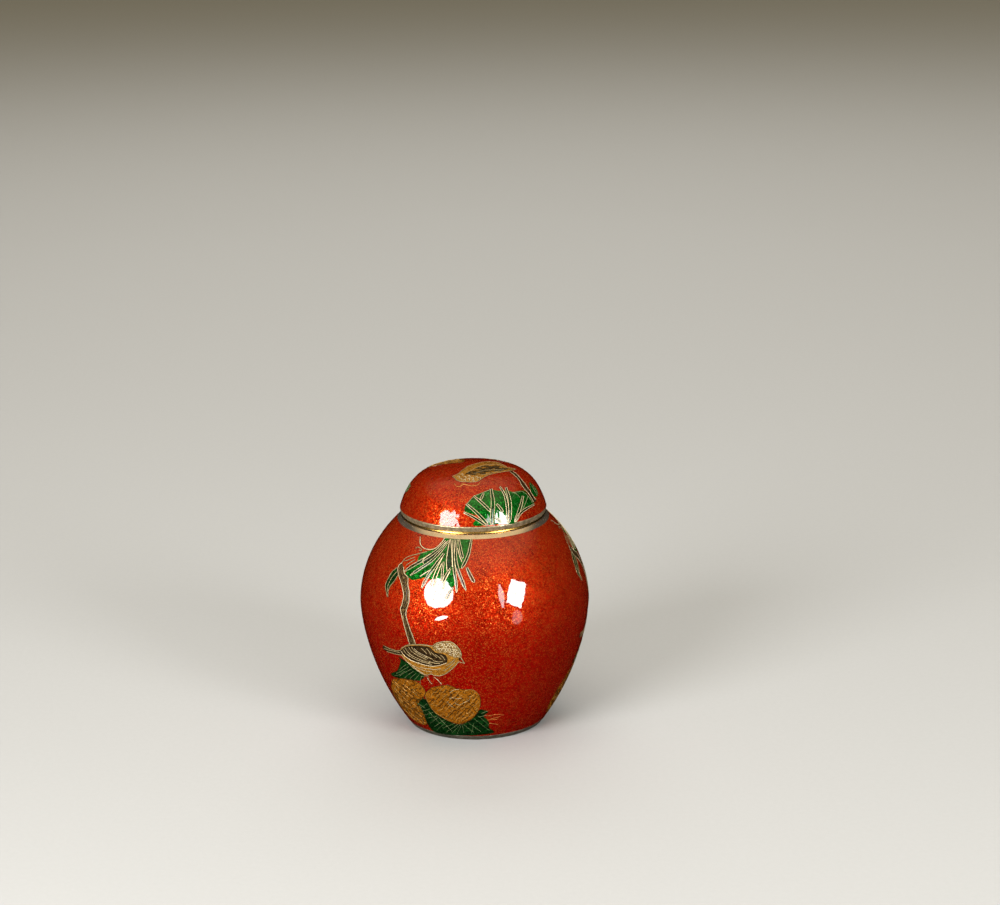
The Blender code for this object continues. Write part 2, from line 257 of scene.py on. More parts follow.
@dataclass(frozen=True)
class SparkleEnamel:
    """Clear glass over glittering foil flakes, if asked warmer at the top: painted light from above, partly
    deeper glass below.
    """

    name: str
    slot: str
    deep: Colour
    body: Colour
    flake: Colour
    spark: Colour
    grain: float = 0.30
    coarse_times: float = 2.7
    cloud: float = 6.0
    tilt: float = 0.42
    flake_share: float = 0.5
    spark_share: float = 0.10
    flake_roughness: float = 0.52
    spark_polish: float = 0.14
    coat_roughness: float = 0.035
    coat_ior: float = 1.57
    # Painted light from above, partly deeper glass below: the flakes' colour at the top, and the heights in
    # millimetres over which it takes over
    top_lit_flake: Colour | None = None
    top_lit_from: float = 30.0
    top_lit_to: float = 78.0

    def material(self) -> bpy.types.Material:
        """Returns the finish as a material."""
        sheet = Sheet(self.name)
        fine = sheet.grains(self.grain)
        chance, pick, shade = sheet.parts(fine)
        coarse, _, _ = sheet.parts(sheet.grains(self.grain * self.coarse_times))
        drift = sheet.cloud(self.cloud)
        level = drift * 0.9 + shade * 0.25 + coarse * 0.24 - 0.2
        glass = sheet.blend(level.span(0.2, 0.8), self.deep, self.body)
        crowd = chance * 0.62 + coarse * 0.22 + drift * 0.36 - 0.11
        foil = crowd.span(0.37 - self.flake_share / 2, 1.13 - self.flake_share / 2)
        glint = pick.span(0.97 - self.spark_share, 1.0 - self.spark_share)
        flake: Any = self.flake
        # Painted light from above, partly deeper glass below: the flakes warm between two heights
        if self.top_lit_flake:
            climb = sheet.height().span(self.top_lit_from * MM, self.top_lit_to * MM)
            flake = sheet.blend(climb, self.flake, self.top_lit_flake)
        metal = sheet.blend(glint, flake, self.spark)
        return sheet.surface(
            Base_Color=sheet.blend(foil, glass, metal), Metallic=foil,
            Roughness=self.flake_roughness - glint * self.spark_polish,
            Normal=sheet.tilted(fine, self.tilt),
            Specular_IOR_Level=0.0, Coat_Weight=1.0, Coat_Roughness=self.coat_roughness,
            Coat_IOR=self.coat_ior)


@dataclass(frozen=True)
class GlassEnamel:
    """Coloured glass, streaked where it lies thin."""

    name: str
    slot: str
    deep: Colour
    body: Colour
    bright: Colour
    cloud: float = 2.2
    grain: float = 0.5
    roughness: float = 0.32
    tilt: float = 0.25
    coat: float = 1.0
    coat_roughness: float = 0.04
    coat_ior: float = 1.5

    def material(self) -> bpy.types.Material:
        """Returns the finish as a material."""
        sheet = Sheet(self.name)
        drift = sheet.cloud(self.cloud, 4.0, 0.6)
        fine = sheet.grains(self.grain)
        chance, _, _ = sheet.parts(fine)
        level = drift * 1.15 + chance * 0.22 - 0.2
        colour = sheet.ramp(level, [(0.22, self.deep), (0.52, self.body), (0.80, self.bright)])
        return sheet.surface(
            Base_Color=colour, Roughness=self.roughness, Normal=sheet.tilted(fine, self.tilt),
            Specular_IOR_Level=0.1, Coat_Weight=self.coat, Coat_Roughness=self.coat_roughness,
            Coat_IOR=self.coat_ior)


@dataclass(frozen=True)
class WornMetal:
    """Polished metal that has dulled in patches and carries fine handling marks."""

    name: str
    slot: str
    clean: Colour
    dull: Colour
    patch: float = 2.4
    dull_level: float = 0.5
    roughness: float = 0.24
    dull_roughness: float = 0.5
    metallic: float = 1.0
    pitting: float = 0.012

    def material(self) -> bpy.types.Material:
        """Returns the finish as a material."""
        sheet = Sheet(self.name)
        patches = sheet.cloud(self.patch, 5.0, 0.65)
        fine = sheet.cloud(self.patch * 0.14, 2.0, 0.6)
        tarnish = (patches * 0.75 + fine * 0.25).span(self.dull_level - 0.12, self.dull_level + 0.14)
        colour = sheet.blend(tarnish, self.clean, self.dull)
        rough = tarnish * (self.dull_roughness - self.roughness) + self.roughness
        return sheet.surface(
            Base_Color=colour, Metallic=self.metallic, Roughness=rough,
            Normal=sheet.bump(fine, self.pitting))


@dataclass(frozen=True)
class PlainFloor:
    """Pale matt paper with a faint tooth."""

    name: str = "pale_floor"
    colour: Colour = (0.410, 0.418, 0.424)
    shade: Colour = (0.385, 0.393, 0.399)

    def material(self) -> bpy.types.Material:
        """Returns the finish as a material."""
        sheet = Sheet(self.name)
        tooth = sheet.cloud(2.0, 4.0)
        colour = sheet.blend(tooth, self.colour, self.shade)
        return sheet.surface(Base_Color=colour, Roughness=0.75, Normal=sheet.bump(tooth, 0.05))


class Glaze(Enum):
    """The finishes that the jar's pieces are given."""

    # The red coats' warmer flakes near the top are painted light from above, partly deeper glass below
    RED = SparkleEnamel("red_sparkle_enamel", "red_enamel", (0.080, 0.0004, 0.0002),
                        (0.19, 0.0006, 0.0003), (0.45, 0.0045, 0.001), (0.76, 0.15, 0.024),
                        grain=0.28, tilt=0.36, spark_share=0.19, flake_share=0.46,
                        top_lit_flake=(0.46, 0.034, 0.004))
    LID_RED = replace(RED, name="red_lid_enamel", coat_roughness=0.06, coat_ior=1.44,
                      top_lit_flake=(0.47, 0.028, 0.003))
    OCHRE = SparkleEnamel("ochre_sparkle_enamel", "ochre_enamel", (0.070, 0.018, 0.0008),
                          (0.27, 0.085, 0.004), (0.56, 0.20, 0.012), (0.82, 0.44, 0.08),
                          grain=0.42, cloud=1.6, flake_share=0.35)
    AMBER = SparkleEnamel("amber_speckled_enamel", "ochre_enamel", (0.10, 0.032, 0.002),
                          (0.28, 0.105, 0.009), (0.58, 0.28, 0.040), (0.80, 0.52, 0.15),
                          grain=0.42, cloud=1.4, flake_share=0.3)
    PALE = SparkleEnamel("pale_speckled_enamel", "ochre_enamel", (0.050, 0.022, 0.005),
                         (0.20, 0.108, 0.030), (0.44, 0.28, 0.095), (0.82, 0.63, 0.32),
                         grain=0.45, cloud=1.2, flake_share=0.3)
    BARK = SparkleEnamel("bark_speckled_enamel", "brown_enamel", (0.010, 0.005, 0.0015),
                         (0.042, 0.023, 0.008), (0.16, 0.095, 0.035), (0.36, 0.25, 0.12),
                         grain=0.40, cloud=1.2, flake_share=0.25)
    GREEN = SparkleEnamel("green_foil_enamel", "green_enamel", (0.0003, 0.010, 0.0006),
                          (0.0009, 0.042, 0.0025), (0.004, 0.14, 0.010), (0.05, 0.38, 0.07),
                          grain=0.40, cloud=1.7, flake_share=0.3)
    DARK_GREEN = GlassEnamel("dark_green_glass_enamel", "green_enamel", (0.0008, 0.0045, 0.0008),
                             (0.0014, 0.015, 0.0020), (0.004, 0.050, 0.006), cloud=1.5)
    BROWN = GlassEnamel("brown_glass_enamel", "brown_enamel", (0.005, 0.0024, 0.0009),
                        (0.018, 0.009, 0.0028), (0.080, 0.044, 0.014), cloud=1.1, coat=0.4)
    # Dark enamel for dark marks, and for the painted shade in the gaps beside the wires
    SEAM = GlassEnamel("dark_mark_and_shade_enamel", "brown_enamel", (0.006, 0.003, 0.001),
                       (0.011, 0.0055, 0.0018), (0.024, 0.012, 0.004), cloud=1.2, coat=0.4)
    TURQUOISE = GlassEnamel("turquoise_counter_enamel", "turquoise_enamel", (0.010, 0.075, 0.088),
                            (0.022, 0.14, 0.15), (0.050, 0.21, 0.22), cloud=3.5)
    WIRE = WornMetal("bright_wire_brass", "brass", (0.74, 0.59, 0.35), (0.46, 0.34, 0.18),
                     patch=1.3, dull_level=0.55, roughness=0.42, dull_roughness=0.55, metallic=0.4)
    DULL_WIRE = replace(WIRE, name="dull_wire_brass", clean=(0.50, 0.37, 0.175),
                        dull=(0.28, 0.20, 0.085), patch=1.1, dull_level=0.5)
    NEEDLE_WIRE = replace(DULL_WIRE, name="needle_wire_brass", clean=(0.27, 0.32, 0.14),
                          dull=(0.12, 0.17, 0.06), metallic=0.3)
    GOLD_WIRE = replace(DULL_WIRE, name="gold_wire_brass", clean=(0.54, 0.29, 0.062),
                        dull=(0.29, 0.145, 0.026), metallic=0.5)
    BAND = WornMetal("tarnished_band_brass", "brass", (0.63, 0.53, 0.325), (0.24, 0.19, 0.11),
                     patch=1.7, dull_level=0.48, roughness=0.30, dull_roughness=0.5, metallic=0.8)
    LIP = WornMetal("polished_lip_brass", "brass", (0.60, 0.36, 0.085), (0.42, 0.235, 0.055),
                    patch=3.0, dull_level=0.6, roughness=0.27, dull_roughness=0.36, pitting=0.003)
    RIM = WornMetal("pale_rim_brass", "brass", (1.0, 0.81, 0.60), (0.86, 0.65, 0.46),
                    patch=4.0, dull_level=0.58, roughness=0.13, dull_roughness=0.22, metallic=0.95,
                    pitting=0.004)
    FOOT = WornMetal("grey_foot_brass", "brass", (0.165, 0.145, 0.105), (0.068, 0.059, 0.043),
                     patch=2.0, dull_level=0.5, roughness=0.38, dull_roughness=0.6, metallic=0.6)
    COPPER = WornMetal("oxidised_copper", "copper", (0.62, 0.30, 0.18), (0.28, 0.13, 0.08),
                       patch=4.0, roughness=0.34, dull_roughness=0.6)

    def dress(self, piece: bpy.types.Object) -> None:
        """Gives a piece this finish as its only material."""
        found = bpy.data.materials.get(self.value.name)
        piece.data.materials.clear()
        piece.data.materials.append(found or self.value.material())


# Forms of the two coats

@dataclass(frozen=True)
class JarForm:
    """The outside of the jar, a pot that swells from its foot and draws in to the shoulder."""

    belly_radius: float = 43.3
    belly_height: float = 47.9
    foot_radius: float = 25.7
    shoulder_radius: float = 28.9
    shoulder_height: float = 79.7
    lower_power: float = 1.65
    upper_power: float = 1.90
    top: float = 81.5
    run_on: float = 1.0
    waviness: float = 1.0

    def radius(self, height: np.ndarray) -> np.ndarray:
        """Returns the outside radius at each height."""
        height = np.clip(np.asarray(height, float), -self.run_on, self.top + self.run_on)
        above = height > self.belly_height
        power = np.where(above, self.upper_power, self.lower_power)
        end = np.where(above, self.shoulder_radius, self.foot_radius)
        reach = np.where(above, self.shoulder_height - self.belly_height, self.belly_height)
        share = np.abs(height - self.belly_height) / reach
        pinch = share ** power * (1 - (end / self.belly_radius) ** power)
        return self.belly_radius * (1 - pinch) ** (1 / power)

    def outside(self, points: np.ndarray) -> np.ndarray:
        """Returns how far outside the form each point lies, below zero inside it."""
        return np.hypot(points[..., 0], points[..., 1]) - self.radius(points[..., 2])

    def outline(self) -> np.ndarray:
        """Returns (radius, height) points from below the foot to above the shoulder."""
        heights = np.linspace(-self.run_on, self.top + self.run_on, OUTLINE_POINTS)
        return np.stack([self.radius(heights), heights], axis=1)


@dataclass(frozen=True)
class DomeForm:
    """The outside of the lid, a low dome with a rounded edge."""

    radius: float = 27.5
    bottom: float = 84.5
    rise: float = 15.4
    crown: float = 0.3
    power: float = 6.55
    edge_power: float = 1.05
    waviness: float = 4.2

    @property
    def top(self) -> float:
        """The height of the dome's middle."""
        return self.bottom + self.rise

    def height(self, radius: np.ndarray) -> np.ndarray:
        """Returns the height of the dome at each distance from its middle."""
        share = np.clip(np.asarray(radius, float) / self.radius, 0, 1)
        fall = self.crown * share ** 2 + (1 - self.crown) * share ** self.power
        return self.bottom + self.rise * np.maximum(0, 1 - fall) ** (1 / self.edge_power)

    def outside(self, points: np.ndarray) -> np.ndarray:
        """Returns how far outside the form each point lies, below zero inside it."""
        radius = np.hypot(points[..., 0], points[..., 1])
        return np.maximum(points[..., 2] - self.height(radius), radius - self.radius)

    def outline(self) -> np.ndarray:
        """Returns (radius, height) points from the rim to the middle of the top."""
        radii = self.radius * np.cos(np.linspace(0, pi / 2, OUTLINE_POINTS))
        return np.stack([radii, self.height(radii)], axis=1)


Form = JarForm | DomeForm


def facing(form: Form, points: np.ndarray) -> np.ndarray:
    """Returns the outward direction of a form at points on it."""
    step = 0.01
    slopes = [form.outside(points + step * axis) - form.outside(points - step * axis)
              for axis in np.eye(3)]
    normals = np.stack(slopes, axis=-1)
    return normals / np.linalg.norm(normals, axis=-1, keepdims=True)


def polish(form: Form, points: np.ndarray) -> np.ndarray:
    """Returns how far the hand polish leaves a form's coat above its true surface at each point."""
    waves = [sum(depth * noise.noise(Vector(point) / span) for depth, span in POLISH_WAVES)
             for point in points]
    return np.array(waves) * form.waviness


def layer(outline: np.ndarray, depth: float, low: float, high: float, stations: int) -> list[Point]:
    """Returns an outline moved inwards by a depth and cut off at two heights.

    Args:
        outline: (radius, height) points that climb.
        depth: how far inwards the outline is moved along its normals.
        low: the height at which it starts.
        high: the height at which it ends, or the axis where it never gets there.
        stations: how many points it is given.

    Returns:
        Evenly spread (radius, height) points.
    """
    along = np.gradient(outline, axis=0)
    along /= np.linalg.norm(along, axis=1)[:, None]
    moved = outline + np.stack([-along[:, 1], along[:, 0]], axis=1) * depth
    moved = moved[moved[:, 0] >= 0]
    heights = moved[:, 1]
    inside = moved[(heights > low) & (heights < high)]
    start = (np.interp(low, heights, moved[:, 0]), low)
    ends_open = high < heights[-1]
    end = (np.interp(high, heights, moved[:, 0]), high) if ends_open else (0.0, heights[-1])
    whole = np.vstack([start, inside, end])
    return [tuple(point) for point in spread(whole, stations)]


def spread(points: np.ndarray, count: int) -> np.ndarray:
    """Returns this many points, spread evenly along a run of points."""
    steps = np.linalg.norm(np.diff(points, axis=0), axis=1)
    run = np.concatenate([[0], np.cumsum(steps)])
    places = np.linspace(0, run[-1], count)
    return np.stack([np.interp(places, run, column) for column in points.T], axis=1)


def flowing(line: Line, spacing: float, closed: bool = False) -> np.ndarray:
    """Returns evenly spread points of a smooth curve through the points of a line.

    Args:
        line: the points that the curve passes through.
        spacing: about how far apart the new points are.
        closed: whether the curve runs back to its start.

    Returns:
        The curve's points, without a repeat of the first one where it is closed.
    """
    knots = np.array(line, float)
    if closed:
        guides = np.vstack([knots[-1], knots, knots[:2]])
    else:
        guides = np.vstack([2 * knots[0] - knots[1], knots, 2 * knots[-1] - knots[-2]])
    share = np.linspace(0, 1, 12, endpoint=False)[:, None]
    curve = []
    for before, start, end, after in zip(guides, guides[1:], guides[2:], guides[3:]):
        bend = 2 * before - 5 * start + 4 * end - after
        swing = 3 * (start - end) + after - before
        curve.append(start + 0.5 * ((end - before) * share + bend * share ** 2 + swing * share ** 3))
    curve.append(knots[:1] if closed else knots[-1:])
    whole = np.vstack(curve)
    length = np.linalg.norm(np.diff(whole, axis=0), axis=1).sum()
    even = spread(whole, max(3, round(length / spacing) + 1))
    return even[:-1] if closed else even


def within(points: np.ndarray, outline: np.ndarray) -> np.ndarray:
    """Returns which points lie inside a closed outline."""
    found = np.zeros(len(points), bool)
    for (x0, y0), (x1, y1) in zip(outline, np.roll(outline, -1, axis=0)):
        crosses = (y0 > points[:, 1]) != (y1 > points[:, 1])
        if y0 != y1:
            reach = x0 + (points[:, 1] - y0) * (x1 - x0) / (y1 - y0)
            found ^= crosses & (points[:, 0] < reach)
    return found


# Camera and drawing surfaces

@dataclass(frozen=True)
class PhotoCamera:
    """The camera, as worked out from the photograph of 1000 by 905 pixels."""

    width: float = 1000.0
    height: float = 905.0
    focal_pixels: float = 2962.66
    sensor: float = 36.0
    eye: tuple[float, float, float] = (10.35, -1063.8, 417.3)
    pitch: float = radians(16.37)
    roll: float = radians(-0.75)

    def turn(self) -> Matrix:
        """Returns the camera's rotation."""
        return Matrix.Rotation(pi / 2 - self.pitch, 3, "X") @ Matrix.Rotation(self.roll, 3, "Z")

    def rays(self, pixels: np.ndarray) -> np.ndarray:
        """Returns the direction in which the camera sees each pixel."""
        across = (pixels[:, 0] - self.width / 2) / self.focal_pixels
        up = (self.height / 2 - pixels[:, 1]) / self.focal_pixels
        local = np.stack([across, up, -np.ones(len(pixels))], axis=1)
        rays = local @ np.array(self.turn()).T
        return rays / np.linalg.norm(rays, axis=1, keepdims=True)

    def build(self) -> None:
        """Adds the camera to the scene and makes it the active one."""
        data = bpy.data.cameras.new("photo_camera")
        data.sensor_fit = "HORIZONTAL"
        data.sensor_width = self.sensor
        data.lens = self.focal_pixels * self.sensor / self.width
        data.clip_start = 0.01
        camera = bpy.data.objects.new("photo_camera", data)
        camera.matrix_world = Matrix.Translation(Vector(self.eye) * MM) @ self.turn().to_4x4()
        bpy.context.scene.collection.objects.link(camera)
        bpy.context.scene.camera = camera


@dataclass(frozen=True)
class PhotoCanvas:
    """Drawing in the photograph's pixels, laid on a form along the camera's rays."""

    form: Form
    camera: PhotoCamera = PhotoCamera()
    fill_step: float = 2.4
    wire_step: float = 0.9
    near: float = 980.0
    far: float = 1190.0
    looks: int = 260
    halvings: int = 32

    def on_form(self, drawn: np.ndarray) -> np.ndarray:
        """Returns the first point of the form on each ray, or its edge where a ray misses it."""
        rays = self.camera.rays(drawn)
        eye = np.array(self.camera.eye)
        reach = np.linspace(self.near, self.far, self.looks)
        depth = self.form.outside(eye + rays[:, None, :] * reach[None, :, None])
        meets = (depth < 0).any(axis=1)
        first = np.where(meets, (depth < 0).argmax(axis=1), depth.argmin(axis=1))
        high = reach[first]
        low = np.where(meets, reach[np.maximum(first - 1, 0)], high)
        for _ in range(self.halvings):
            middle = (low + high) / 2
            inside = self.form.outside(eye + rays * middle[:, None]) < 0
            high = np.where(inside, middle, high)
            low = np.where(inside, low, middle)
        return eye + rays * high[:, None]


@dataclass(frozen=True)
class UnrolledCanvas:
    """Drawing in millimetres to the right of a bearing and above the foot, rolled on the jar."""

    form: JarForm
    bearing: float
    girth: float
    fill_step: float = 1.0
    wire_step: float = 0.36

    def on_form(self, drawn: np.ndarray) -> np.ndarray:
        """Returns the drawn points on the jar."""
        angle = radians(self.bearing) + drawn[:, 0] / self.girth
        radius = self.form.radius(drawn[:, 1])
        return np.stack([radius * np.sin(angle), -radius * np.cos(angle), drawn[:, 1]], axis=1)


@dataclass(frozen=True)
class PlanCanvas:
    """Drawing in millimetres across a bearing and out from the axis, dropped on the lid."""

    form: DomeForm
    bearing: float
    fill_step: float = 0.6
    wire_step: float = 0.36

    def on_form(self, drawn: np.ndarray) -> np.ndarray:
        """Returns the drawn points on the lid."""
        angle = radians(self.bearing)
        across, out = drawn[:, 0], drawn[:, 1]
        x = out * sin(angle) + across * cos(angle)
        y = -out * cos(angle) + across * sin(angle)
        return np.stack([x, y, self.form.height(np.hypot(x, y))], axis=1)


Canvas = PhotoCanvas | UnrolledCanvas | PlanCanvas


# Modelling steps

def start_fresh() -> None:
    """Leaves nothing selected, so that an operator acts on its own piece alone."""
    bpy.ops.object.select_all(action="DESELECT")


@contextmanager
def editing() -> Iterator[None]:
    """Opens the active piece in edit mode with all of it selected, and closes it again."""
    bpy.ops.object.mode_set(mode="EDIT")
    bpy.ops.mesh.select_all(action="SELECT")
    yield
    bpy.ops.object.mode_set(mode="OBJECT")


def finish_mesh(piece: bpy.types.Object, bevel: float) -> bpy.types.Object:
    """Merges doubles, turns faces outwards, eases edges and shades a piece.

    Args:
        piece: the active object, in object mode.
        bevel: the width in millimetres by which sharp edges are eased, or 0.

    Returns:
        The same piece.
    """
    with editing():
        bpy.ops.mesh.remove_doubles(threshold=WELD_GAP * MM)
        bpy.ops.mesh.normals_make_consistent(inside=False)
    if bevel:
        eased = piece.modifiers.new("eased_edges", "BEVEL")
        eased.width = bevel * MM
        eased.segments = 3
        eased.limit_method = "ANGLE"
        eased.angle_limit = EASED_ANGLE
        bpy.ops.object.modifier_apply(modifier=eased.name)
    bpy.ops.object.shade_smooth_by_angle(angle=SHARP_ANGLE)
    return piece


def spun(name: str, section: Sequence[Point], bevel: float = 0.0) -> bpy.types.Object:
    """Draws a closed (radius, height) section by extruding a point, and spins it round the axis.

    Args:
        name: the piece's name.
        section: the section's corners in millimetres.
        bevel: the width by which its sharp edges are eased.

    Returns:
        The spun piece.
    """
    start_fresh()
    bpy.ops.mesh.primitive_plane_add(size=MM, location=(0, 0, 0))
    piece = bpy.context.object
    piece.name = name
    with editing():
        bpy.ops.mesh.merge(type="CENTER")
        bpy.ops.transform.translate(value=(section[0][0] * MM, 0, section[0][1] * MM))
        for (r0, z0), (r1, z1) in zip(section, [*section[1:], section[0]]):
            step = {"value": ((r1 - r0) * MM, 0, (z1 - z0) * MM)}
            bpy.ops.mesh.extrude_region_move(TRANSFORM_OT_translate=step)
        bpy.ops.mesh.select_all(action="SELECT")
        bpy.ops.mesh.remove_doubles(threshold=WELD_GAP * MM)
        bpy.ops.mesh.spin(steps=SPIN_STEPS, angle=tau, center=(0, 0, 0), axis=(0, 0, 1))
    return finish_mesh(piece, bevel)


def points_of(piece: bpy.types.Object) -> np.ndarray:
    """Returns a piece's points in millimetres."""
    flat = np.zeros(len(piece.data.vertices) * 3)
    piece.data.vertices.foreach_get("co", flat)
    return flat.reshape(-1, 3) / MM


def move_points(piece: bpy.types.Object, points: np.ndarray) -> None:
    """Puts a piece's points at new places, given in millimetres."""
    piece.data.vertices.foreach_set("co", (points * MM).ravel())
    piece.data.update()


def laid_patch(name: str, outline: Line, canvas: Canvas, rise: float) -> bpy.types.Object:
    """Lays a thin filled patch on a form.

    Args:
        name: the piece's name.
        outline: the patch's closed outline on the canvas.
        canvas: where the outline is drawn.
        rise: how far the patch's face stands above the coat.

    Returns:
        The patch, with its thickness sunk in the coat.
    """
    edge = flowing(outline, canvas.fill_step / 2, closed=True)
    start_fresh()
    bpy.ops.mesh.primitive_circle_add(vertices=len(edge), radius=1, fill_type="NGON")
    piece = bpy.context.object
    piece.name = name
    flat = np.column_stack([edge, np.zeros(len(edge))])
    piece.data.vertices.foreach_set("co", flat.ravel())
    with editing():
        bpy.ops.mesh.quads_convert_to_tris()
        for axis in range(2):
            direction = np.eye(3)[axis]
            for cut in np.arange(edge[:, axis].min(), edge[:, axis].max(), canvas.fill_step)[1:]:
                bpy.ops.mesh.select_all(action="SELECT")
                bpy.ops.mesh.bisect(plane_co=tuple(cut * direction), plane_no=tuple(direction))
    drawn = points_of(piece)[:, :2] * MM
    on_form = canvas.on_form(drawn)
    normals = facing(canvas.form, on_form)
    move_points(piece, on_form + normals * (rise + polish(canvas.form, on_form))[:, None])
    outward = sum(face.normal.dot(Vector(normals[face.vertices[0]]))
                  for face in piece.data.polygons)
    if outward < 0:
        piece.data.flip_normals()
    wall = piece.modifiers.new("glass_depth", "SOLIDIFY")
    wall.thickness = LAYER_DEPTH * MM
    wall.offset = -1.0
    bpy.ops.object.modifier_apply(modifier=wall.name)
    bpy.ops.object.shade_smooth_by_angle(angle=SHARP_ANGLE)
    return piece


def laid_strips(name: str, lines: Sequence[Line], canvas: Canvas, width: float,
                rise: float) -> bpy.types.Object:
    """Lays flat strips on edge along lines. They turn with the form, so their mesh is lofted here.

    Args:
        name: the piece's name.
        lines: open lines on the canvas.
        canvas: where the lines are drawn.
        width: how wide a strip's face is, in millimetres.
        rise: how far its face stands above the coat.

    Returns:
        All the strips as one piece.
    """
    half = width / 2
    flat = 0.55
    section = [(-half, -LAYER_DEPTH), (-half, rise * flat), (-half * flat, rise),
               (half * flat, rise), (half, rise * flat), (half, -LAYER_DEPTH)]
    corners, faces = [], []
    for line in lines:
        on_form = canvas.on_form(flowing(line, canvas.wire_step))
        up = facing(canvas.form, on_form)
        along = np.gradient(on_form, axis=0)
        across = np.cross(along, up)
        across /= np.maximum(np.linalg.norm(across, axis=1, keepdims=True), 1e-9)
        lift = polish(canvas.form, on_form)
        first = sum(len(ring) for ring in corners)
        rings = [on_form + across * x + up * (z + lift)[:, None] for x, z in section]
        corners.append(np.stack(rings, axis=1).reshape(-1, 3))
        count = len(section)
        last = first + (len(on_form) - 1) * count
        for ring in range(first, last, count):
            for side in range(count):
                beside = (side + 1) % count
                faces.append((ring + side, ring + beside, ring + count + beside,
                              ring + count + side))
        faces.append(tuple(range(first, first + count))[::-1])
        faces.append(tuple(range(last, last + count)))
    mesh = bpy.data.meshes.new(name)
    mesh.from_pydata((np.vstack(corners) * MM).tolist(), [], faces)
    piece = bpy.data.objects.new(name, mesh)
    bpy.context.scene.collection.objects.link(piece)
    start_fresh()
    piece.select_set(True)
    bpy.context.view_layer.objects.active = piece
    with editing():
        bpy.ops.mesh.normals_make_consistent(inside=False)
    bpy.ops.object.shade_smooth_by_angle(angle=SHARP_ANGLE)
    return piece


def turned_copy(piece: bpy.types.Object, angle: float) -> bpy.types.Object:
    """Returns a copy of a piece, with its own mesh, turned about the jar's axis."""
    copy = piece.copy()
    copy.data = piece.data.copy()
    copy.data.transform(Matrix.Rotation(angle, 4, "Z"))
    bpy.context.scene.collection.objects.link(copy)
    return copy


def settle(piece: bpy.types.Object, body: str, glaze: Glaze, *nodes: str) -> None:
    """Dresses a piece, lets it ride on a body and stand for solids, and reports it."""
    glaze.dress(piece)
    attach(piece, body)
    if nodes:
        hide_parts(*nodes)
    log.info("%s: %d faces, %s, rides on %s", piece.name, len(piece.data.polygons),
             glaze.value.name, body)


def fired_coat(name: str, form: Form, depth: float, ends: Point,
               stations: tuple[int, int]) -> bpy.types.Object:
    """Spins a coat of enamel on a form and gives it the slight waves of its hand polish.

    Args:
        name: the piece's name.
        form: what the coat's outside follows.
        depth: how thick the coat is.
        ends: the heights at which it starts and ends.
        stations: how many points its outside and its inside are given.

    Returns:
        The coat.
    """
    outer = layer(form.outline(), 0.0, *ends, stations[0])
    inner = layer(form.outline(), depth, *ends, stations[1])
    piece = spun(name, outer + inner[::-1])
    points = points_of(piece)
    move_points(piece, points + facing(form, points) * polish(form, points)[:, None])
    return piece


# Drawing

@dataclass(frozen=True)
class Enlargement:
    """An enlarged view of the photograph, in whose pixels a picture is drawn."""

    left: float
    top: float
    times: float

    def photo(self, line: Line) -> list[Point]:
        """Returns a drawn line in the photograph's own pixels."""
        return [(self.left + x / self.times, self.top + y / self.times) for x, y in line]


LID_VIEW = Enlargement(430, 450, 12.06)


def hairpin(line: Line, gap: float) -> list[Point]:
    """Returns the wire of one pine needle, which runs down one side and back up the other.

    Args:
        line: the needle's middle from its root to its tip.
        gap: how far apart its two sides are.

    Returns:
        The wire's points.
    """
    steps = 9
    root_share = 0.55
    tip_share = 0.12
    middle = spread(flowing(line, 0.05 * gap + 4.0 * gap / steps), steps)
    along = np.gradient(middle, axis=0)
    along /= np.linalg.norm(along, axis=1, keepdims=True)
    side = np.stack([-along[:, 1], along[:, 0]], axis=1)
    share = np.linspace(0, 1, steps)
    half = gap / 2 * np.minimum(root_share + share, 1)
    half *= np.sqrt(np.clip((1 - share) / tip_share, 0, 1))
    left = middle + side * half[:, None]
    right = middle - side * half[:, None]
    return [tuple(point) for point in np.vstack([left, right[-2::-1]])]


def hatched(outline: Line, spacing: float, dash: float, lean: float, seed: int) -> list[list[Point]]:
    """Returns rows of short uneven dashes that fill an outline, as the marks of a pine cone do.

    Args:
        outline: the closed outline that they fill.
        spacing: how far apart the rows are.
        dash: about how long a dash is.
        lean: the angle in degrees along which the rows lie.
        seed: picks how unevenly they are laid.

    Returns:
        One short line for each dash.
    """
    draw = np.random.default_rng(seed)
    edge = flowing(outline, spacing, closed=True)
    middle = edge.mean(axis=0)
    along = np.array([cos(radians(lean)), sin(radians(lean))])
    across = np.array([-along[1], along[0]])
    reach = np.abs((edge - middle) @ along).max()
    lines = []
    for offset in np.arange(-reach, reach, spacing):
        start = -reach - draw.uniform(0, dash)
        while start < reach:
            stop = start + dash * draw.uniform(0.5, 1.4)
            bow = np.array([0, 1, 1, 0]) * draw.normal(0, 0.17)
            sway = offset + (draw.normal(0, 0.14) + bow) * spacing
            line = middle + np.outer(np.linspace(start, stop, 4), along) + np.outer(sway, across)
            start = stop + dash * draw.uniform(0.1, 0.45)
            if within(line, edge).all():
                lines.append([tuple(point) for point in line])
    return lines


def ring(x: float, y: float, size: float, start: float, sweep: float) -> list[Point]:
    """Returns an arc round a point, from one angle in degrees through another."""
    turns = np.radians(np.linspace(start, start + sweep, 10))
    return [(x + size * cos(turn), y + size * sin(turn)) for turn in turns]


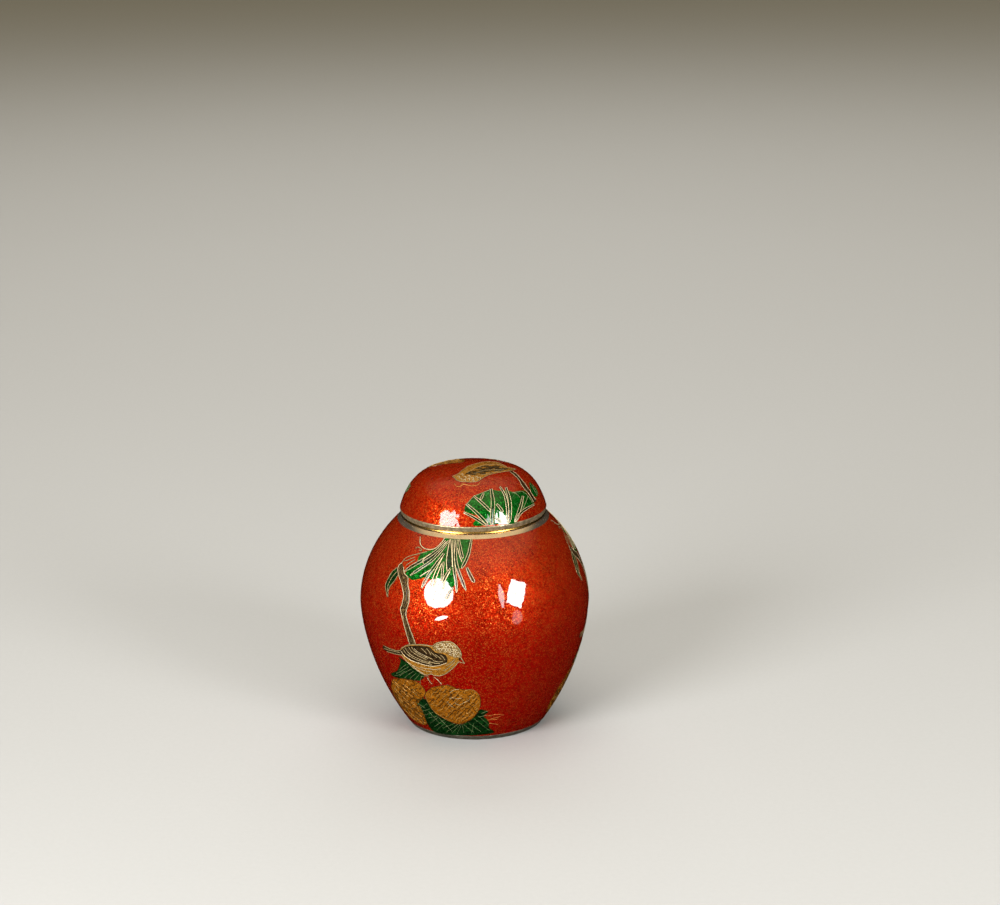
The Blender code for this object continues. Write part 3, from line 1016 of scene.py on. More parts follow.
@dataclass
class Motif:
    """One picture: its enamel patches, and the strips of wire, dark marks and painted shade laid over them.
    """

    label: str
    node: str
    canvas: Canvas
    patches: list[tuple[str, Glaze, list[Point]]] = field(default_factory=list)
    strips: list[tuple[str, Glaze, float, float, list[Line]]] = field(default_factory=list)

    def patch(self, name: str, glaze: Glaze, outline: Line) -> None:
        """Adds an enamel patch."""
        self.patches.append((name, glaze, list(outline)))

    def dark(self, name: str, lines: list[Line], width: float, glaze: Glaze = Glaze.SEAM) -> None:
        """Adds dark lines that lie lower than the wires: dark marks, and painted shade beside the wires."""
        self.strips.append((name, glaze, width, DARK_LINE_RISE, lines))

    def wires(self, name: str, lines: list[Line], glaze: Glaze = Glaze.WIRE, width: float = 0.26,
              shade_border: float = 0.15) -> None:
        """Adds wires of a width, with a strip of painted shade of another width in the gap on either side of
        them.
        """
        # Painted shade in the gap on either side of the wires
        if shade_border:
            self.dark(f"{name}_seams", lines, width + 2 * shade_border)
        self.strips.append((name, glaze, width, WIRE_RISE, lines))

    def needles(self, drawn: Sequence[tuple[Line, float]], shaded_gap: float = 0.55) -> None:
        """Adds pine needles, each given by its middle line and its width, dark between their wires: painted
        shade in the narrow gap, partly dark green enamel.
        """
        # Painted shade, partly dark green enamel, in the narrow gap between each needle's two wires
        self.dark("needle_shaded_gaps", [line for line, _ in drawn], shaded_gap, Glaze.DARK_GREEN)
        self.wires("needles", [hairpin(line, gap) for line, gap in drawn], width=0.165, shade_border=0.085)

    def build(self) -> list[tuple[bpy.types.Object, Glaze, list[str]]]:
        """Builds the picture's pieces.

        Returns:
            Each piece with its finish and the solid that it stands for, if there is one.
        """
        made = []
        fill_node = [self.node] if self.node else []
        wire_node = [self.node + "_wire"] if self.node else []
        for number, (name, glaze, outline) in enumerate(self.patches):
            rise = FILL_RISE * (1 + FILL_SHARE * number)
            piece = laid_patch(f"{self.label}_{name}", outline, self.canvas, rise)
            made.append((piece, glaze, fill_node))
        for number, (name, glaze, width, rise, lines) in enumerate(self.strips):
            lift = rise + STRIP_STEP * number
            piece = laid_strips(f"{self.label}_{name}", lines, self.canvas, width, lift)
            made.append((piece, glaze, wire_node))
        return made


@dataclass
class JarPictures:
    """The pictures on the jar: one group at the front left, and its two copies round the sides."""

    form: JarForm
    group_turn: float = radians(-118)
    groups: tuple[str, ...] = ("front", "left", "right")

    def needle_fan(self) -> Motif:
        """Returns the fan of pine needles that hangs from the shoulder, and its leaf at the left."""
        motif = Motif("fan", "needle_fan", PhotoCanvas(self.form))
        motif.patch("green", Glaze.GREEN, [
            (446, 537.6), (458, 538), (471.8, 538), (470.6, 551), (467.6, 559), (462.6, 567.5),
            (458.3, 568.6), (455.2, 569.8), (454.4, 577), (454.6, 584), (452, 588), (447, 592.3),
            (443.8, 588.5), (444.2, 583), (441.5, 580.8), (437, 580.3), (432, 579.6), (428, 578.6),
            (424.5, 577.5), (419, 579), (412.5, 580), (408.6, 577.4), (405.4, 573.4), (410.5, 567.6),
            (417, 562.2), (419, 556), (424, 551.8), (431.5, 550.2), (437.5, 547.6), (442, 544)])
        motif.patch("shade", Glaze.DARK_GREEN, [
            (422.7, 561.8), (424.3, 558.4), (431.5, 553.4), (438, 549.6), (440, 550.4), (434.9, 555.4),
            (430.4, 560.7), (423.8, 563.4)])
        motif.patch("inner_shade", Glaze.DARK_GREEN, [
            (449.4, 543), (447.6, 552), (446.6, 562), (447.2, 570), (450.6, 567), (452.2, 560),
            (451.8, 551), (451, 543)])
        motif.patch("leaf", Glaze.DARK_GREEN, [
            (397, 567.5), (392, 572), (388.5, 578), (385.8, 585), (386.2, 590), (388, 596.5),
            (388.6, 591), (390, 586.5), (394, 581.5), (397.8, 575.5)])
        motif.needles([
            ([(446, 541), (436, 551.2), (424, 559.3), (412, 566.2), (404.5, 571.5)], 2.5),
            ([(449, 540.5), (441.5, 550.5), (436, 556.5), (430, 562), (421, 568), (410, 575.5)], 2.1),
            ([(444, 553.4), (438.5, 561), (431, 571.5), (426.3, 579), (421.6, 588)], 2.7),
            ([(443.8, 561.6), (442.5, 571), (442, 581)], 1.9),
            ([(453.5, 539.5), (453.4, 556), (454.3, 570), (456, 582), (456.6, 592.5)], 2.3),
            ([(456.6, 539.5), (455.5, 556), (457.2, 567), (461, 578), (466, 590.5)], 2.7),
            ([(459, 539.5), (461, 551), (463, 558.5)], 2.2),
            ([(471.4, 539.5), (469, 552.5), (465.5, 561.5), (461.5, 568.5)], 2.5),
            ([(466.8, 567.5), (470.2, 575), (474.3, 582.5)], 3.0),
            ([(450.5, 568.5), (446.5, 575), (442.9, 582.5)], 2.1),
            ([(453, 587.5), (449.5, 593), (446.3, 599)], 2.6)], 0.5)
        motif.wires("edges", [
            [(420.2, 536.5), (420.3, 543.5), (422.5, 547), (426, 549), (430.5, 549.5), (434, 548.8),
             (438, 546.3), (441.4, 542.6), (444.6, 538.4)],
            [(431.5, 553.4), (424.3, 558.4), (422.7, 561.8), (423.8, 563.4)],
            [(430.4, 570), (425, 573), (420, 576.4)],
            [(442.6, 557), (438, 566), (434, 575), (430.6, 586)],
            [(441.6, 563.4), (438.6, 571.6), (436, 579), (433.5, 587)],
            [(450, 539.5), (447.5, 552), (446.5, 562), (447, 571)],
            [(450.8, 539.5), (452, 555), (452.3, 567)],
            [(450, 572), (445.5, 580), (443, 589)],
            [(457.4, 548), (459.6, 556), (462, 562)]])
        motif.wires("twig", [
            [(402.3, 562.3), (405, 558.6), (410, 556), (415, 554.6), (420, 553.4), (427, 551.6)],
            [(404.5, 561), (408, 560), (411, 558.7), (414.5, 557.5)],
            [(406, 565.4), (410.4, 562.4), (415, 559.8)],
            [(415.7, 548.5), (417.5, 547), (419.5, 547.6), (421.5, 549.2), (421.4, 550.9), (419.3, 550.2)],
            [(397, 567.5), (392, 572), (388.5, 578), (385.5, 585), (386, 590), (387.7, 597),
             (388.4, 591), (390, 586.5), (394, 581.5), (398, 575)],
            [(397, 571.6), (392, 577.4), (388.2, 585), (387.4, 592)]], Glaze.DULL_WIRE, 0.22, 0.12)
        return motif

    def branch(self) -> Motif:
        """Returns the brown branch that bends down from the needles to the bird."""
        motif = Motif("branch", "branch", PhotoCanvas(self.form))
        left = [(402, 562.5), (398.8, 565.5), (397.9, 570), (398.8, 575.5), (401, 582), (402.7, 589),
                (403.6, 596), (402.1, 604), (400.5, 609), (401.7, 615), (404.4, 626), (407.5, 637),
                (409.5, 643.8)]
        right = [(415.4, 643.8), (413.1, 637), (409.4, 627), (406.2, 616), (406.4, 610.5), (408.7, 603),
                 (409.1, 598), (409.1, 591), (407.9, 584), (408, 577.5), (404.6, 573.4), (403.4, 567)]
        motif.patch("bark", Glaze.BARK, left + right)
        motif.dark("cracks", [
            [(400, 568), (401, 575), (404, 581), (405.6, 588)],
            [(406.8, 585), (406.6, 593), (406.2, 600), (404, 607)],
            [(404, 613), (405.6, 621), (409, 630), (411.6, 639)]], 0.32)
        motif.wires("edges", [left, right], width=0.24)
        return motif

    def bird(self) -> Motif:
        """Returns the bird that sits over the cones."""
        motif = Motif("bird", "bird", PhotoCanvas(self.form))
        back = [(401, 648.6), (405, 646.2), (409.5, 644.8), (417, 644.6), (425, 645), (432, 646)]
        crown = [(436, 643.5), (441, 642), (448.5, 641.5), (453, 643), (457, 646.5), (460, 650.5),
                 (461.3, 654.5), (460.7, 657.2)]
        belly = [(458.5, 662), (455, 666), (450, 670.5), (445, 674), (440, 675.7), (435, 675.5),
                 (431, 674), (427, 675), (423, 674), (418, 671), (413, 667.5), (409.5, 664),
                 (405, 659.5), (401, 654.5)]
        wing_edge = [(401, 651), (404.5, 655.5), (409, 659), (414, 661.5), (419.5, 663.3), (426, 665.3),
                     (432.5, 666.2), (438, 665.6), (443, 664.2), (446.6, 662.8)]
        motif.patch("breast", Glaze.AMBER, back + crown + belly)
        head = [(432.6, 646), *crown, (459, 658.4), (455, 657.4), (450, 656), (446, 653.6), (441, 653),
                (436, 651.6), (433, 649)]
        motif.patch("head", Glaze.PALE, head)
        motif.patch("wing", Glaze.BROWN, [
            *wing_edge, (447.6, 659), (446, 655.4), (441, 653.4), (436, 652.6), (433, 650), (430, 647.2),
            (424, 646), (417, 645.6), (410, 645.8), (405, 647.2)])
        motif.patch("tail", Glaze.BROWN, [
            (383.5, 645.5), (390, 648.4), (397, 650.4), (401, 649.6), (402, 655), (394, 653.5),
            (387, 651.5), (383, 648.4)])
        motif.patch("beak", Glaze.RED, [(461, 656.8), (462.6, 660), (464.2, 663), (461, 662.4),
                                        (458.6, 661.6)])
        motif.patch("eye", Glaze.SEAM, ring(459.6, 659, 1.3, 0, 324))
        bands = ([(403, 650), (406.5, 654.2), (411, 657.4), (416.5, 660.1), (422.5, 662.2), (431, 664.4)],
                 [(406.8, 647.4), (409.6, 651.4), (413.8, 654.9), (419.5, 657.8), (427, 660.8)],
                 [(411, 647), (413.4, 650.4), (417, 653.2), (422, 656), (427.4, 658.6)])
        motif.dark("feather_bands", list(bands), 0.42, Glaze.BARK)
        motif.wires("outline", [back + crown, [(460.7, 657.2), (462.4, 660), (464.6, 663.4)],
                                [(464.6, 663.4), (460.6, 662.2), *belly]], Glaze.DULL_WIRE, 0.24, 0.12)
        motif.wires("wing_edge", [wing_edge], width=0.24, shade_border=0.14)
        motif.wires("feathers", [
            [(405, 647.5), (408, 652), (412, 655.5), (418, 658.5), (424, 661), (431, 663)],
            [(408.5, 646.5), (411, 650.5), (415.5, 654), (421, 657), (426.5, 659.5)],
            [(383.5, 645.5), (390, 648.6), (397, 650.6), (401, 650)],
            [(384.6, 648.6), (391, 650.4), (400, 652.6)],
            [(387, 651.5), (394, 653.5), (401, 655)],
            [(421, 648), (424, 650.5), (426.5, 653.5)], [(426.5, 648.5), (429, 651), (431, 655)],
            [(431, 652), (434, 655), (437, 657.5)], [(425, 655.5), (429, 657.5), (433, 659.5)],
            [(435, 654.5), (438.5, 656.5), (441, 659)], [(433, 660.5), (438, 661.8), (443, 661.5)],
            [(440, 654.8), (443, 657), (445, 660)], [(429, 661), (434, 663), (440, 663.4)],
            [(403.4, 649.4), (406.4, 653.6), (411, 656.8), (417, 659.8), (424, 662.3), (432, 664.6)],
            [(411.6, 646.8), (413.8, 650), (417.4, 653), (422, 655.6), (428.4, 658.6)],
            [(406, 661), (411.4, 664.6), (417, 667.4), (424, 670.4), (432, 672)],
            [(446, 665.6), (451, 662.6), (455, 659.4)], [(444, 670.6), (450, 666.6), (455, 662)]],
            Glaze.DULL_WIRE, 0.24, 0.11)
        motif.wires("bright_feathers", [
            [(414.3, 648.5), (418, 652), (422, 654), (427, 657)],
            [(410.5, 663.5), (415, 668), (420, 671.5), (424, 673.5)],
            [(420, 667.5), (428, 668.5), (434, 669.5), (441, 668.5)],
            [(427.5, 677.6), (429.5, 681), (432, 684)], [(434, 677), (438, 680), (441.5, 684)]],
            width=0.17, shade_border=0.08)
        motif.wires("scallops", self.scallops(head), width=0.24, shade_border=0.06)
        return motif

    @staticmethod
    def scallops(outline: Line) -> list[Line]:
        """Returns uneven rows of small arcs, as many as lie whole inside the head's outline."""
        draw = np.random.default_rng(31)
        left, top = 434.2, 645.0
        gap, drop, stagger = 3.1, 2.4, 1.5
        arcs = [ring(left + gap * step + stagger * (row % 2) + draw.normal(0, 0.45),
                     top + drop * row + draw.normal(0, 0.4), draw.uniform(1.1, 1.8),
                     draw.uniform(165, 215), 185)
                for row in range(6) for step in range(9)]
        return [arc for arc in arcs if within(np.array(arc), np.array(outline)).all()]

    def tail_tuft(self) -> Motif:
        """Returns the green tuft under the bird's tail."""
        motif = Motif("tail_tuft", "tail_tuft", PhotoCanvas(self.form))
        motif.patch("green", Glaze.DARK_GREEN, [
            (399, 657), (400.5, 661), (398.5, 668), (396.6, 671), (391, 673.4), (393.5, 676.4),
            (400, 678.4), (409, 679), (415, 680.2), (420, 680.6), (424.5, 677), (423, 674.4), (418, 671.4),
            (413, 668), (407, 662.4)])
        motif.wires("needles", [
            [(408.6, 666.6), (400.5, 671.5), (396, 673.6)], [(411, 669), (404, 673), (399.6, 676)],
            [(413.6, 671), (408, 675), (404.6, 678)], [(416.4, 673), (412, 676.6), (410, 679)],
            [(406, 664.4), (402, 667.6), (399.4, 670)], [(419.4, 674.6), (416, 678), (414.6, 680)],
            [(422, 676), (420.4, 680), (420.2, 684)], [(421, 676.4), (425, 676), (428.4, 676.8)],
            [(394.6, 675.6), (400, 674.6), (405, 671)]], Glaze.NEEDLE_WIRE, 0.12, 0.04)
        return motif

    def left_cone(self) -> Motif:
        """Returns the cone that runs round the left side."""
        motif = Motif("left_cone", "left_cone", UnrolledCanvas(self.form, -50, 36))
        outline = [(-2.5, 23.4), (4, 25.8), (10, 26.2), (12.9, 23), (11.4, 19.4), (8.2, 16), (8.2, 10),
                   (6.4, 5), (-0.6, 4.4), (-6.5, 6.2), (-9.6, 11.2), (-8.6, 16.4), (-5.8, 20)]
        self.cone_marks(motif, outline, 1.5, -40, 0.42)
        return motif

    def right_cone(self) -> Motif:
        """Returns the cone under the bird."""
        motif = Motif("right_cone", "right_cone", PhotoCanvas(self.form))
        outline = [(425, 694), (428, 690.5), (432, 687.5), (437, 686.5), (442, 685.5), (448, 685),
                   (453, 686.5), (456, 688.5), (460, 689), (466, 689.8), (471, 689.5), (476, 691.5),
                   (479, 695), (480.5, 699), (480.5, 704), (479.5, 708.5), (477, 713), (473, 717.5),
                   (468, 721), (462, 723.5), (456, 723.5), (450, 721), (444, 718), (438, 714.5),
                   (433, 710), (429, 704), (425.5, 698)]
        self.cone_marks(motif, outline, 3.1, -46)
        motif.wires("twigs", [
            [(449.5, 698.5), (453, 697.7), (458, 698.7), (462, 697.8)],
            [(450, 692.5), (453.5, 690), (459, 689.2)],
            [(447, 701), (449, 704), (453, 707)],
            [(455, 703), (459, 704.8), (464, 702.5), (469, 700), (470.5, 697)]],
            Glaze.DULL_WIRE, 0.2, 0.1)
        motif.wires("bright_edges", [
            [(425, 696), (429, 704), (433, 710), (438, 714.5), (444, 718), (450, 721)],
            [(466, 689.8), (471, 689.5), (476, 691.5), (479, 695)]], Glaze.GOLD_WIRE, 0.16, 0.08)
        return motif

    @staticmethod
    def cone_marks(motif: Motif, outline: Line, spacing: float, lean: float,
                   width: float = 0.3) -> None:
        """Fills a cone's outline with ochre, dark dashes along a lean and across it, and gold lines."""
        motif.patch("ochre", Glaze.OCHRE, outline)
        motif.dark("dashes", hatched(outline, spacing, spacing * 3.2, lean, 21), width)
        motif.dark("cross_dashes", hatched(outline, spacing * 1.3, spacing * 1.1, lean + 74, 22),
                   width * 0.8)
        motif.wires("gold_dashes", hatched(outline, spacing * 1.6, spacing * 2.0, lean + 6, 23),
                    Glaze.GOLD_WIRE, 0.18, 0)
        motif.dark("edge", [[*outline, outline[0]]], 0.2, Glaze.BROWN)

    def lower_tuft(self) -> Motif:
        """Returns the needles between and below the cones, and those that stray on the red."""
        motif = Motif("lower_tuft", "lower_tuft", PhotoCanvas(self.form))
        motif.patch("green", Glaze.DARK_GREEN, [
            (418, 699.6), (421.6, 698.4), (425.8, 699.4), (429.2, 704.8), (433, 710.6), (438, 715.1),
            (444, 718.6), (450, 721.6), (456, 724), (462, 724), (468, 721.5), (473.2, 718), (477.3, 713.4),
            (480, 709.6), (484, 710), (488, 712),
            (484, 716), (489, 722), (489, 727.5), (494, 732.4), (478, 735), (465, 735.4), (452, 735),
            (440, 733.6), (432, 730), (427.4, 723.4), (424, 716), (420, 709), (416.5, 703.4)])
        motif.wires("needles", [
            [(417.6, 703), (425, 708)], [(420.6, 708), (427, 703.6)], [(422, 711.4), (430, 708.6)],
            [(424.6, 715), (433, 712.4)], [(428.7, 711.4), (440, 723.4)], [(427.4, 718), (438, 715.8)],
            [(430.6, 723), (438.6, 717)], [(434.4, 726.6), (445, 719.4)], [(439.4, 718.2), (452, 731)],
            [(437, 730), (446, 722)], [(443, 728), (455, 723)], [(446.6, 732), (458, 724.2)],
            [(452.3, 733), (460, 724.6)], [(457.3, 733.4), (461.4, 724.8)], [(463.8, 733), (462.4, 724.6)],
            [(463.7, 724.4), (474, 732.6)], [(468, 722.4), (481, 731.6)], [(471.6, 733), (474, 723)],
            [(474, 718.6), (489.4, 730.4)], [(478, 715.8), (489, 725)], [(481, 713.4), (487.6, 711)],
            [(479, 717), (487, 715)]], Glaze.NEEDLE_WIRE, 0.075, 0)
        motif.wires("stray_needles", [
            [(488, 716), (496, 714.5), (504, 715)], [(490, 719), (500, 716.5)], [(487, 720), (497, 719.5)],
            [(489, 723), (498, 724.4)]], Glaze.GOLD_WIRE, 0.07, 0)
        return motif

    def build(self) -> None:
        """Builds the front group, copies it round the sides, and settles all three on the jar."""
        motifs = (self.needle_fan(), self.branch(), self.tail_tuft(), self.bird(), self.left_cone(),
                  self.right_cone(), self.lower_tuft())
        for motif in motifs:
            for piece, glaze, node in motif.build():
                shape = piece.name
                copies = [piece]
                for place in range(1, len(self.groups)):
                    copies.append(turned_copy(piece, place * self.group_turn))
                for group, copy in zip(self.groups, copies):
                    copy.name = f"{group}_{shape}"
                    settle(copy, "jar", glaze, *(f"{group}_{name}" for name in node))


@dataclass
class LidPictures:
    """The pictures on the lid: a bird and a fan at the front, a fan, a cone and needles behind."""

    form: DomeForm

    def bird(self) -> Motif:
        """Returns the bird near the middle of the lid, with the branch under its tail."""
        motif = Motif("lid_bird", "lid_bird", PhotoCanvas(self.form, fill_step=1.6, wire_step=0.7))
        outline = [(452.5, 476.5), (457.5, 474.2), (462.5, 470), (468.3, 466.2), (476.7, 463.4),
                   (486.7, 461.7), (496.7, 462.5), (503.3, 465), (508.3, 467.6), (515.6, 469.4),
                   (503.3, 471.8), (491.7, 474.2), (485, 476.7), (480, 480), (476.7, 481.5),
                   (465.8, 482.1), (457.5, 480.8), (455, 478.4)]
        motif.patch("amber", Glaze.AMBER, outline)
        motif.patch("back", Glaze.BARK, [
            (466, 473.6), (471, 470.6), (477.6, 467), (487, 465.4), (497, 465.8), (508, 468.6), (503, 470.4),
            (496, 472), (489, 473.8), (481, 474.6), (474, 475.2)])
        motif.dark("dashes", [
            [(465, 475), (469, 472.6), (472.4, 473), (477, 470), (480.6, 470.6), (485, 468), (488, 468.4)],
            [(473, 475), (478, 472.6), (483, 473.4), (488, 471), (493, 472), (499, 470), (507, 469.4)],
            [(479, 467.9), (483, 466.4), (487, 467)], [(489, 469.2), (494, 468.2), (501, 469)],
            [(505, 467.8), (509, 469), (514, 469.4)]], 0.5)
        motif.wires("feathers", [
            [(467, 473), (472, 470), (479, 466.6), (488, 464.6), (498, 464.8), (507, 467.4)],
            [(474, 474.2), (480, 471.6), (487, 470), (495, 469.8), (504, 469.4)],
            [(481, 475.2), (488, 473.6), (495, 472), (503, 470.8)]], Glaze.DULL_WIRE, 0.16, 0.06)
        motif.wires("outline", [[*outline, outline[0]]], Glaze.DULL_WIRE, 0.2, 0.1)
        motif.wires("speckles", [ring(x, y, 1.1, 200, 230) for x, y in (
            (458.6, 477), (462, 475), (461, 479.2), (465, 477.6), (464.6, 480.6), (468.6, 479.4),
            (469, 476.6), (472.6, 478.6), (473, 481), (476.6, 477.6), (479.6, 478.4))],
            width=0.2, shade_border=0.08)
        motif.wires("feet", [
            [(454.2, 483.4), (456.4, 486.2), (460, 486.4), (462.6, 485)],
            [(461.7, 484), (466.4, 484.8), (472, 485.8), (478, 484.6), (480.4, 481.8)]],
            Glaze.GOLD_WIRE, 0.16, 0)
        left = [(510, 471.8), (518.3, 479.2), (522.5, 486.7), (528.3, 493.3), (533.3, 501.7)]
        right = [(535.8, 500), (529.2, 490), (522.5, 480.8), (516.7, 474.2), (513, 471.4)]
        motif.patch("branch", Glaze.BROWN, left + right)
        motif.wires("branch_edges", [left, right], width=0.22, shade_border=0.12)
        return motif

    def fan(self) -> Motif:
        """Returns the fan of needles at the front of the lid."""
        motif = Motif("lid_fan", "lid_fan", PhotoCanvas(self.form, fill_step=1.6))
        draw = LID_VIEW.photo
        motif.patch("green", Glaze.GREEN, draw([
            (418, 690), (445, 650), (530, 560), (640, 512), (735, 478), (830, 492), (930, 486),
            (1000, 505), (1130, 490), (1200, 560), (1258, 650), (1180, 690), (1085, 770), (1035, 880),
            (880, 890), (720, 905), (540, 915), (528, 870), (590, 805), (430, 745)]))
        motif.patch("tuft", Glaze.GREEN, draw([
            (1200, 388), (1250, 430), (1292, 478), (1298, 545), (1262, 560), (1215, 490)]))
        needles = [
            ([(408, 752), (540, 820), (680, 912)], 26),
            ([(436, 648), (560, 755), (700, 900)], 32),
            ([(528, 555), (640, 650), (735, 745)], 28),
            ([(736, 465), (758, 620), (752, 780), (742, 905)], 44),
            ([(842, 440), (900, 540), (932, 680), (938, 880)], 28),
            ([(916, 452), (956, 590), (966, 740), (952, 882)], 36),
            ([(800, 650), (840, 690), (880, 750)], 26),
            ([(1120, 555), (1085, 700), (1022, 872)], 30),
            ([(1258, 655), (1150, 715), (1080, 775), (1030, 872)], 26),
            ([(648, 522), (628, 560), (608, 600)], 22),
            ([(795, 818), (825, 842), (856, 878)], 26),
        ]
        motif.needles([(draw(line), gap / LID_VIEW.times) for line, gap in needles], 0.46)
        motif.wires("twigs", [draw(line) for line in (
            [(445, 650), (530, 562), (640, 514), (720, 480)],
            [(1205, 395), (1250, 470), (1290, 545)], [(1235, 420), (1275, 480), (1296, 520)],
            [(1150, 520), (1200, 580), (1240, 640)], [(1130, 560), (1120, 640), (1100, 720)],
            [(1180, 560), (1150, 640), (1120, 710)], [(1000, 515), (1100, 500), (1140, 520)],
            [(985, 508), (1040, 530), (1085, 575)])],
            Glaze.NEEDLE_WIRE, 0.2, 0.1)
        return motif

    def back_fan(self) -> Motif:
        """Returns the fan of needles at the back of the lid."""
        motif = Motif("lid_back_fan", "", PlanCanvas(self.form, 147))
        motif.patch("green", Glaze.GREEN, [
            (-6, 24.6), (0, 25.6), (6, 24.6), (11, 21.3), (9.6, 17.6), (5, 15.8), (0, 15.2),
            (-5, 15.8), (-9.6, 17.6), (-11, 21.3)])
        tips = ((-11.4, 18), (-8.4, 16.2), (-5.2, 14.8), (-1.8, 14.2), (1.8, 14.2), (5.2, 14.8),
                (8.4, 16.2), (11.4, 18))
        motif.needles([([(x * 0.4, 25.6 - 0.02 * x ** 2), (x * 0.72, 20.5), (x, y)], 0.8)
                       for x, y in tips])
        return motif

    def cone(self) -> Motif:
        """Returns the cone at the back left of the lid."""
        motif = Motif("lid_cone", "lid_cone", PlanCanvas(self.form, -134))
        outline = [(6.8, 16.8), (5.2, 12.8), (3, 9.8), (0, 6.6), (-3.9, 7.9), (-5.8, 13.2), (-3.6, 18.4),
                   (2.9, 20.4)]
        JarPictures.cone_marks(motif, outline, 1.0, 55)
        return motif

    def side_tuft(self) -> Motif:
        """Returns the few needles at the left edge of the lid."""
        motif = Motif("lid_side_tuft", "", PlanCanvas(self.form, -93))
        motif.patch("green", Glaze.DARK_GREEN, [
            (-3.7, 23.4), (0, 23.8), (3.7, 23.1), (4.3, 24.5), (0.4, 25.6), (-3.1, 25.4)])
        motif.wires("needles", [[(-2.6, 23.6), (-3.2, 25.2)], [(-0.6, 23.6), (-1, 25.4)],
                                [(1.4, 23.4), (1.8, 25.2)], [(3, 23.2), (3.8, 24.6)]],
                    Glaze.NEEDLE_WIRE, 0.16, 0.05)
        return motif

    def build(self) -> None:
        """Builds the lid's pictures and settles them on the lid."""
        for motif in (self.bird(), self.fan(), self.back_fan(), self.cone(), self.side_tuft()):
            for piece, glaze, node in motif.build():
                settle(piece, "lid", glaze, *node)


@dataclass
class JarShell:
    """The jar without its pictures: red coat, turquoise lining, and brass rims."""

    form: JarForm
    coat_bottom: float = 2.05
    coat_top: float = 80.1
    coat_depth: float = 1.0
    lining_depth: float = 2.6
    lining_wall: float = 0.5
    lining_floor: float = 3.6
    lining_top: float = 78.6
    foot_height: float = 2.0
    foot_width: float = 3.0
    foot_proud: float = 0.05
    base_top: float = 2.0
    base_bottom: float = 1.5
    fit_gap: float = 0.3
    rim_bottom: float = 80.05
    rim_top: float = 81.5
    rim_lip: float = 1.0
    rim_proud: float = 0.12
    rim_slope: float = 0.35
    rim_step: float = 0.3
    collar_radius: float = 24.6
    collar_bore: float = 23.6
    collar_bottom: float = 78.9
    collar_top: float = 84.1
    edge_ease: float = 0.18
    coat_stations: int = 150
    lining_stations: int = 70

    def coat(self) -> bpy.types.Object:
        """Returns the red coat."""
        return fired_coat("jar_red_coat", self.form, self.coat_depth, (self.coat_bottom, self.coat_top),
                          (self.coat_stations, self.coat_stations // 4))

    def lining(self) -> bpy.types.Object:
        """Returns the counter-enamel inside the jar."""
        outline = self.form.outline()
        outer = layer(outline, self.lining_depth, self.lining_floor, self.lining_top,
                      self.lining_stations)
        inner = layer(outline, self.lining_depth + self.lining_wall,
                      self.lining_floor + self.lining_wall, self.lining_top, self.lining_stations)
        floor = [(0.0, self.lining_floor), *outer]
        return spun("jar_turquoise_lining",
                    floor + inner[::-1] + [(0.0, self.lining_floor + self.lining_wall)])

    def shoulder_rim(self) -> bpy.types.Object:
        """Returns the sloping rim on which the lid rests."""
        seat = self.collar_radius + self.fit_gap
        bend = self.rim_top - self.rim_slope
        lower, upper = self.form.radius(np.array([self.rim_bottom, bend]))
        return spun("shoulder_rim", [
            (lower + self.rim_proud, self.rim_bottom), (upper + self.rim_proud, bend),
            (upper - self.rim_step, self.rim_top), (seat, self.rim_top),
            (seat, self.rim_top - self.rim_lip), (lower - self.coat_depth, self.rim_bottom)],
            self.edge_ease)

    def collar(self) -> bpy.types.Object:
        """Returns the upright collar that keeps the lid in place."""
        return spun("lid_collar", [
            (self.collar_radius, self.collar_bottom), (self.collar_radius, self.collar_top),
            (self.collar_bore, self.collar_top), (self.collar_bore, self.collar_bottom)],
            self.edge_ease)

    def foot(self) -> bpy.types.Object:
        """Returns the thin foot."""
        low, high = self.form.radius(np.array([0.0, self.foot_height]))
        bore = low - self.foot_width
        return spun("brass_foot", [(low, 0.0), (high + self.foot_proud, self.foot_height),
                                   (bore, self.foot_height), (bore, 0.0)], self.edge_ease)

    def base(self) -> bpy.types.Object:
        """Returns the enamelled disc inside the foot."""
        edge = float(self.form.radius(np.array([0.0]))[0]) - self.foot_width - self.fit_gap
        return spun("base_disc", [(0.0, self.base_bottom), (edge, self.base_bottom),
                                  (edge, self.base_top), (0.0, self.base_top)], self.edge_ease / 2)

    def build(self) -> None:
        """Builds the shell's pieces and settles them on the jar."""
        settle(self.coat(), "jar", Glaze.RED, "jar_enamel")
        settle(self.lining(), "jar", Glaze.TURQUOISE, "jar_lining")
        settle(self.shoulder_rim(), "jar", Glaze.RIM, "shoulder_ring")
        settle(self.collar(), "jar", Glaze.RIM, "neck_collar")
        settle(self.foot(), "jar", Glaze.FOOT, "foot_ring")
        settle(self.base(), "jar", Glaze.TURQUOISE, "base_enamel")


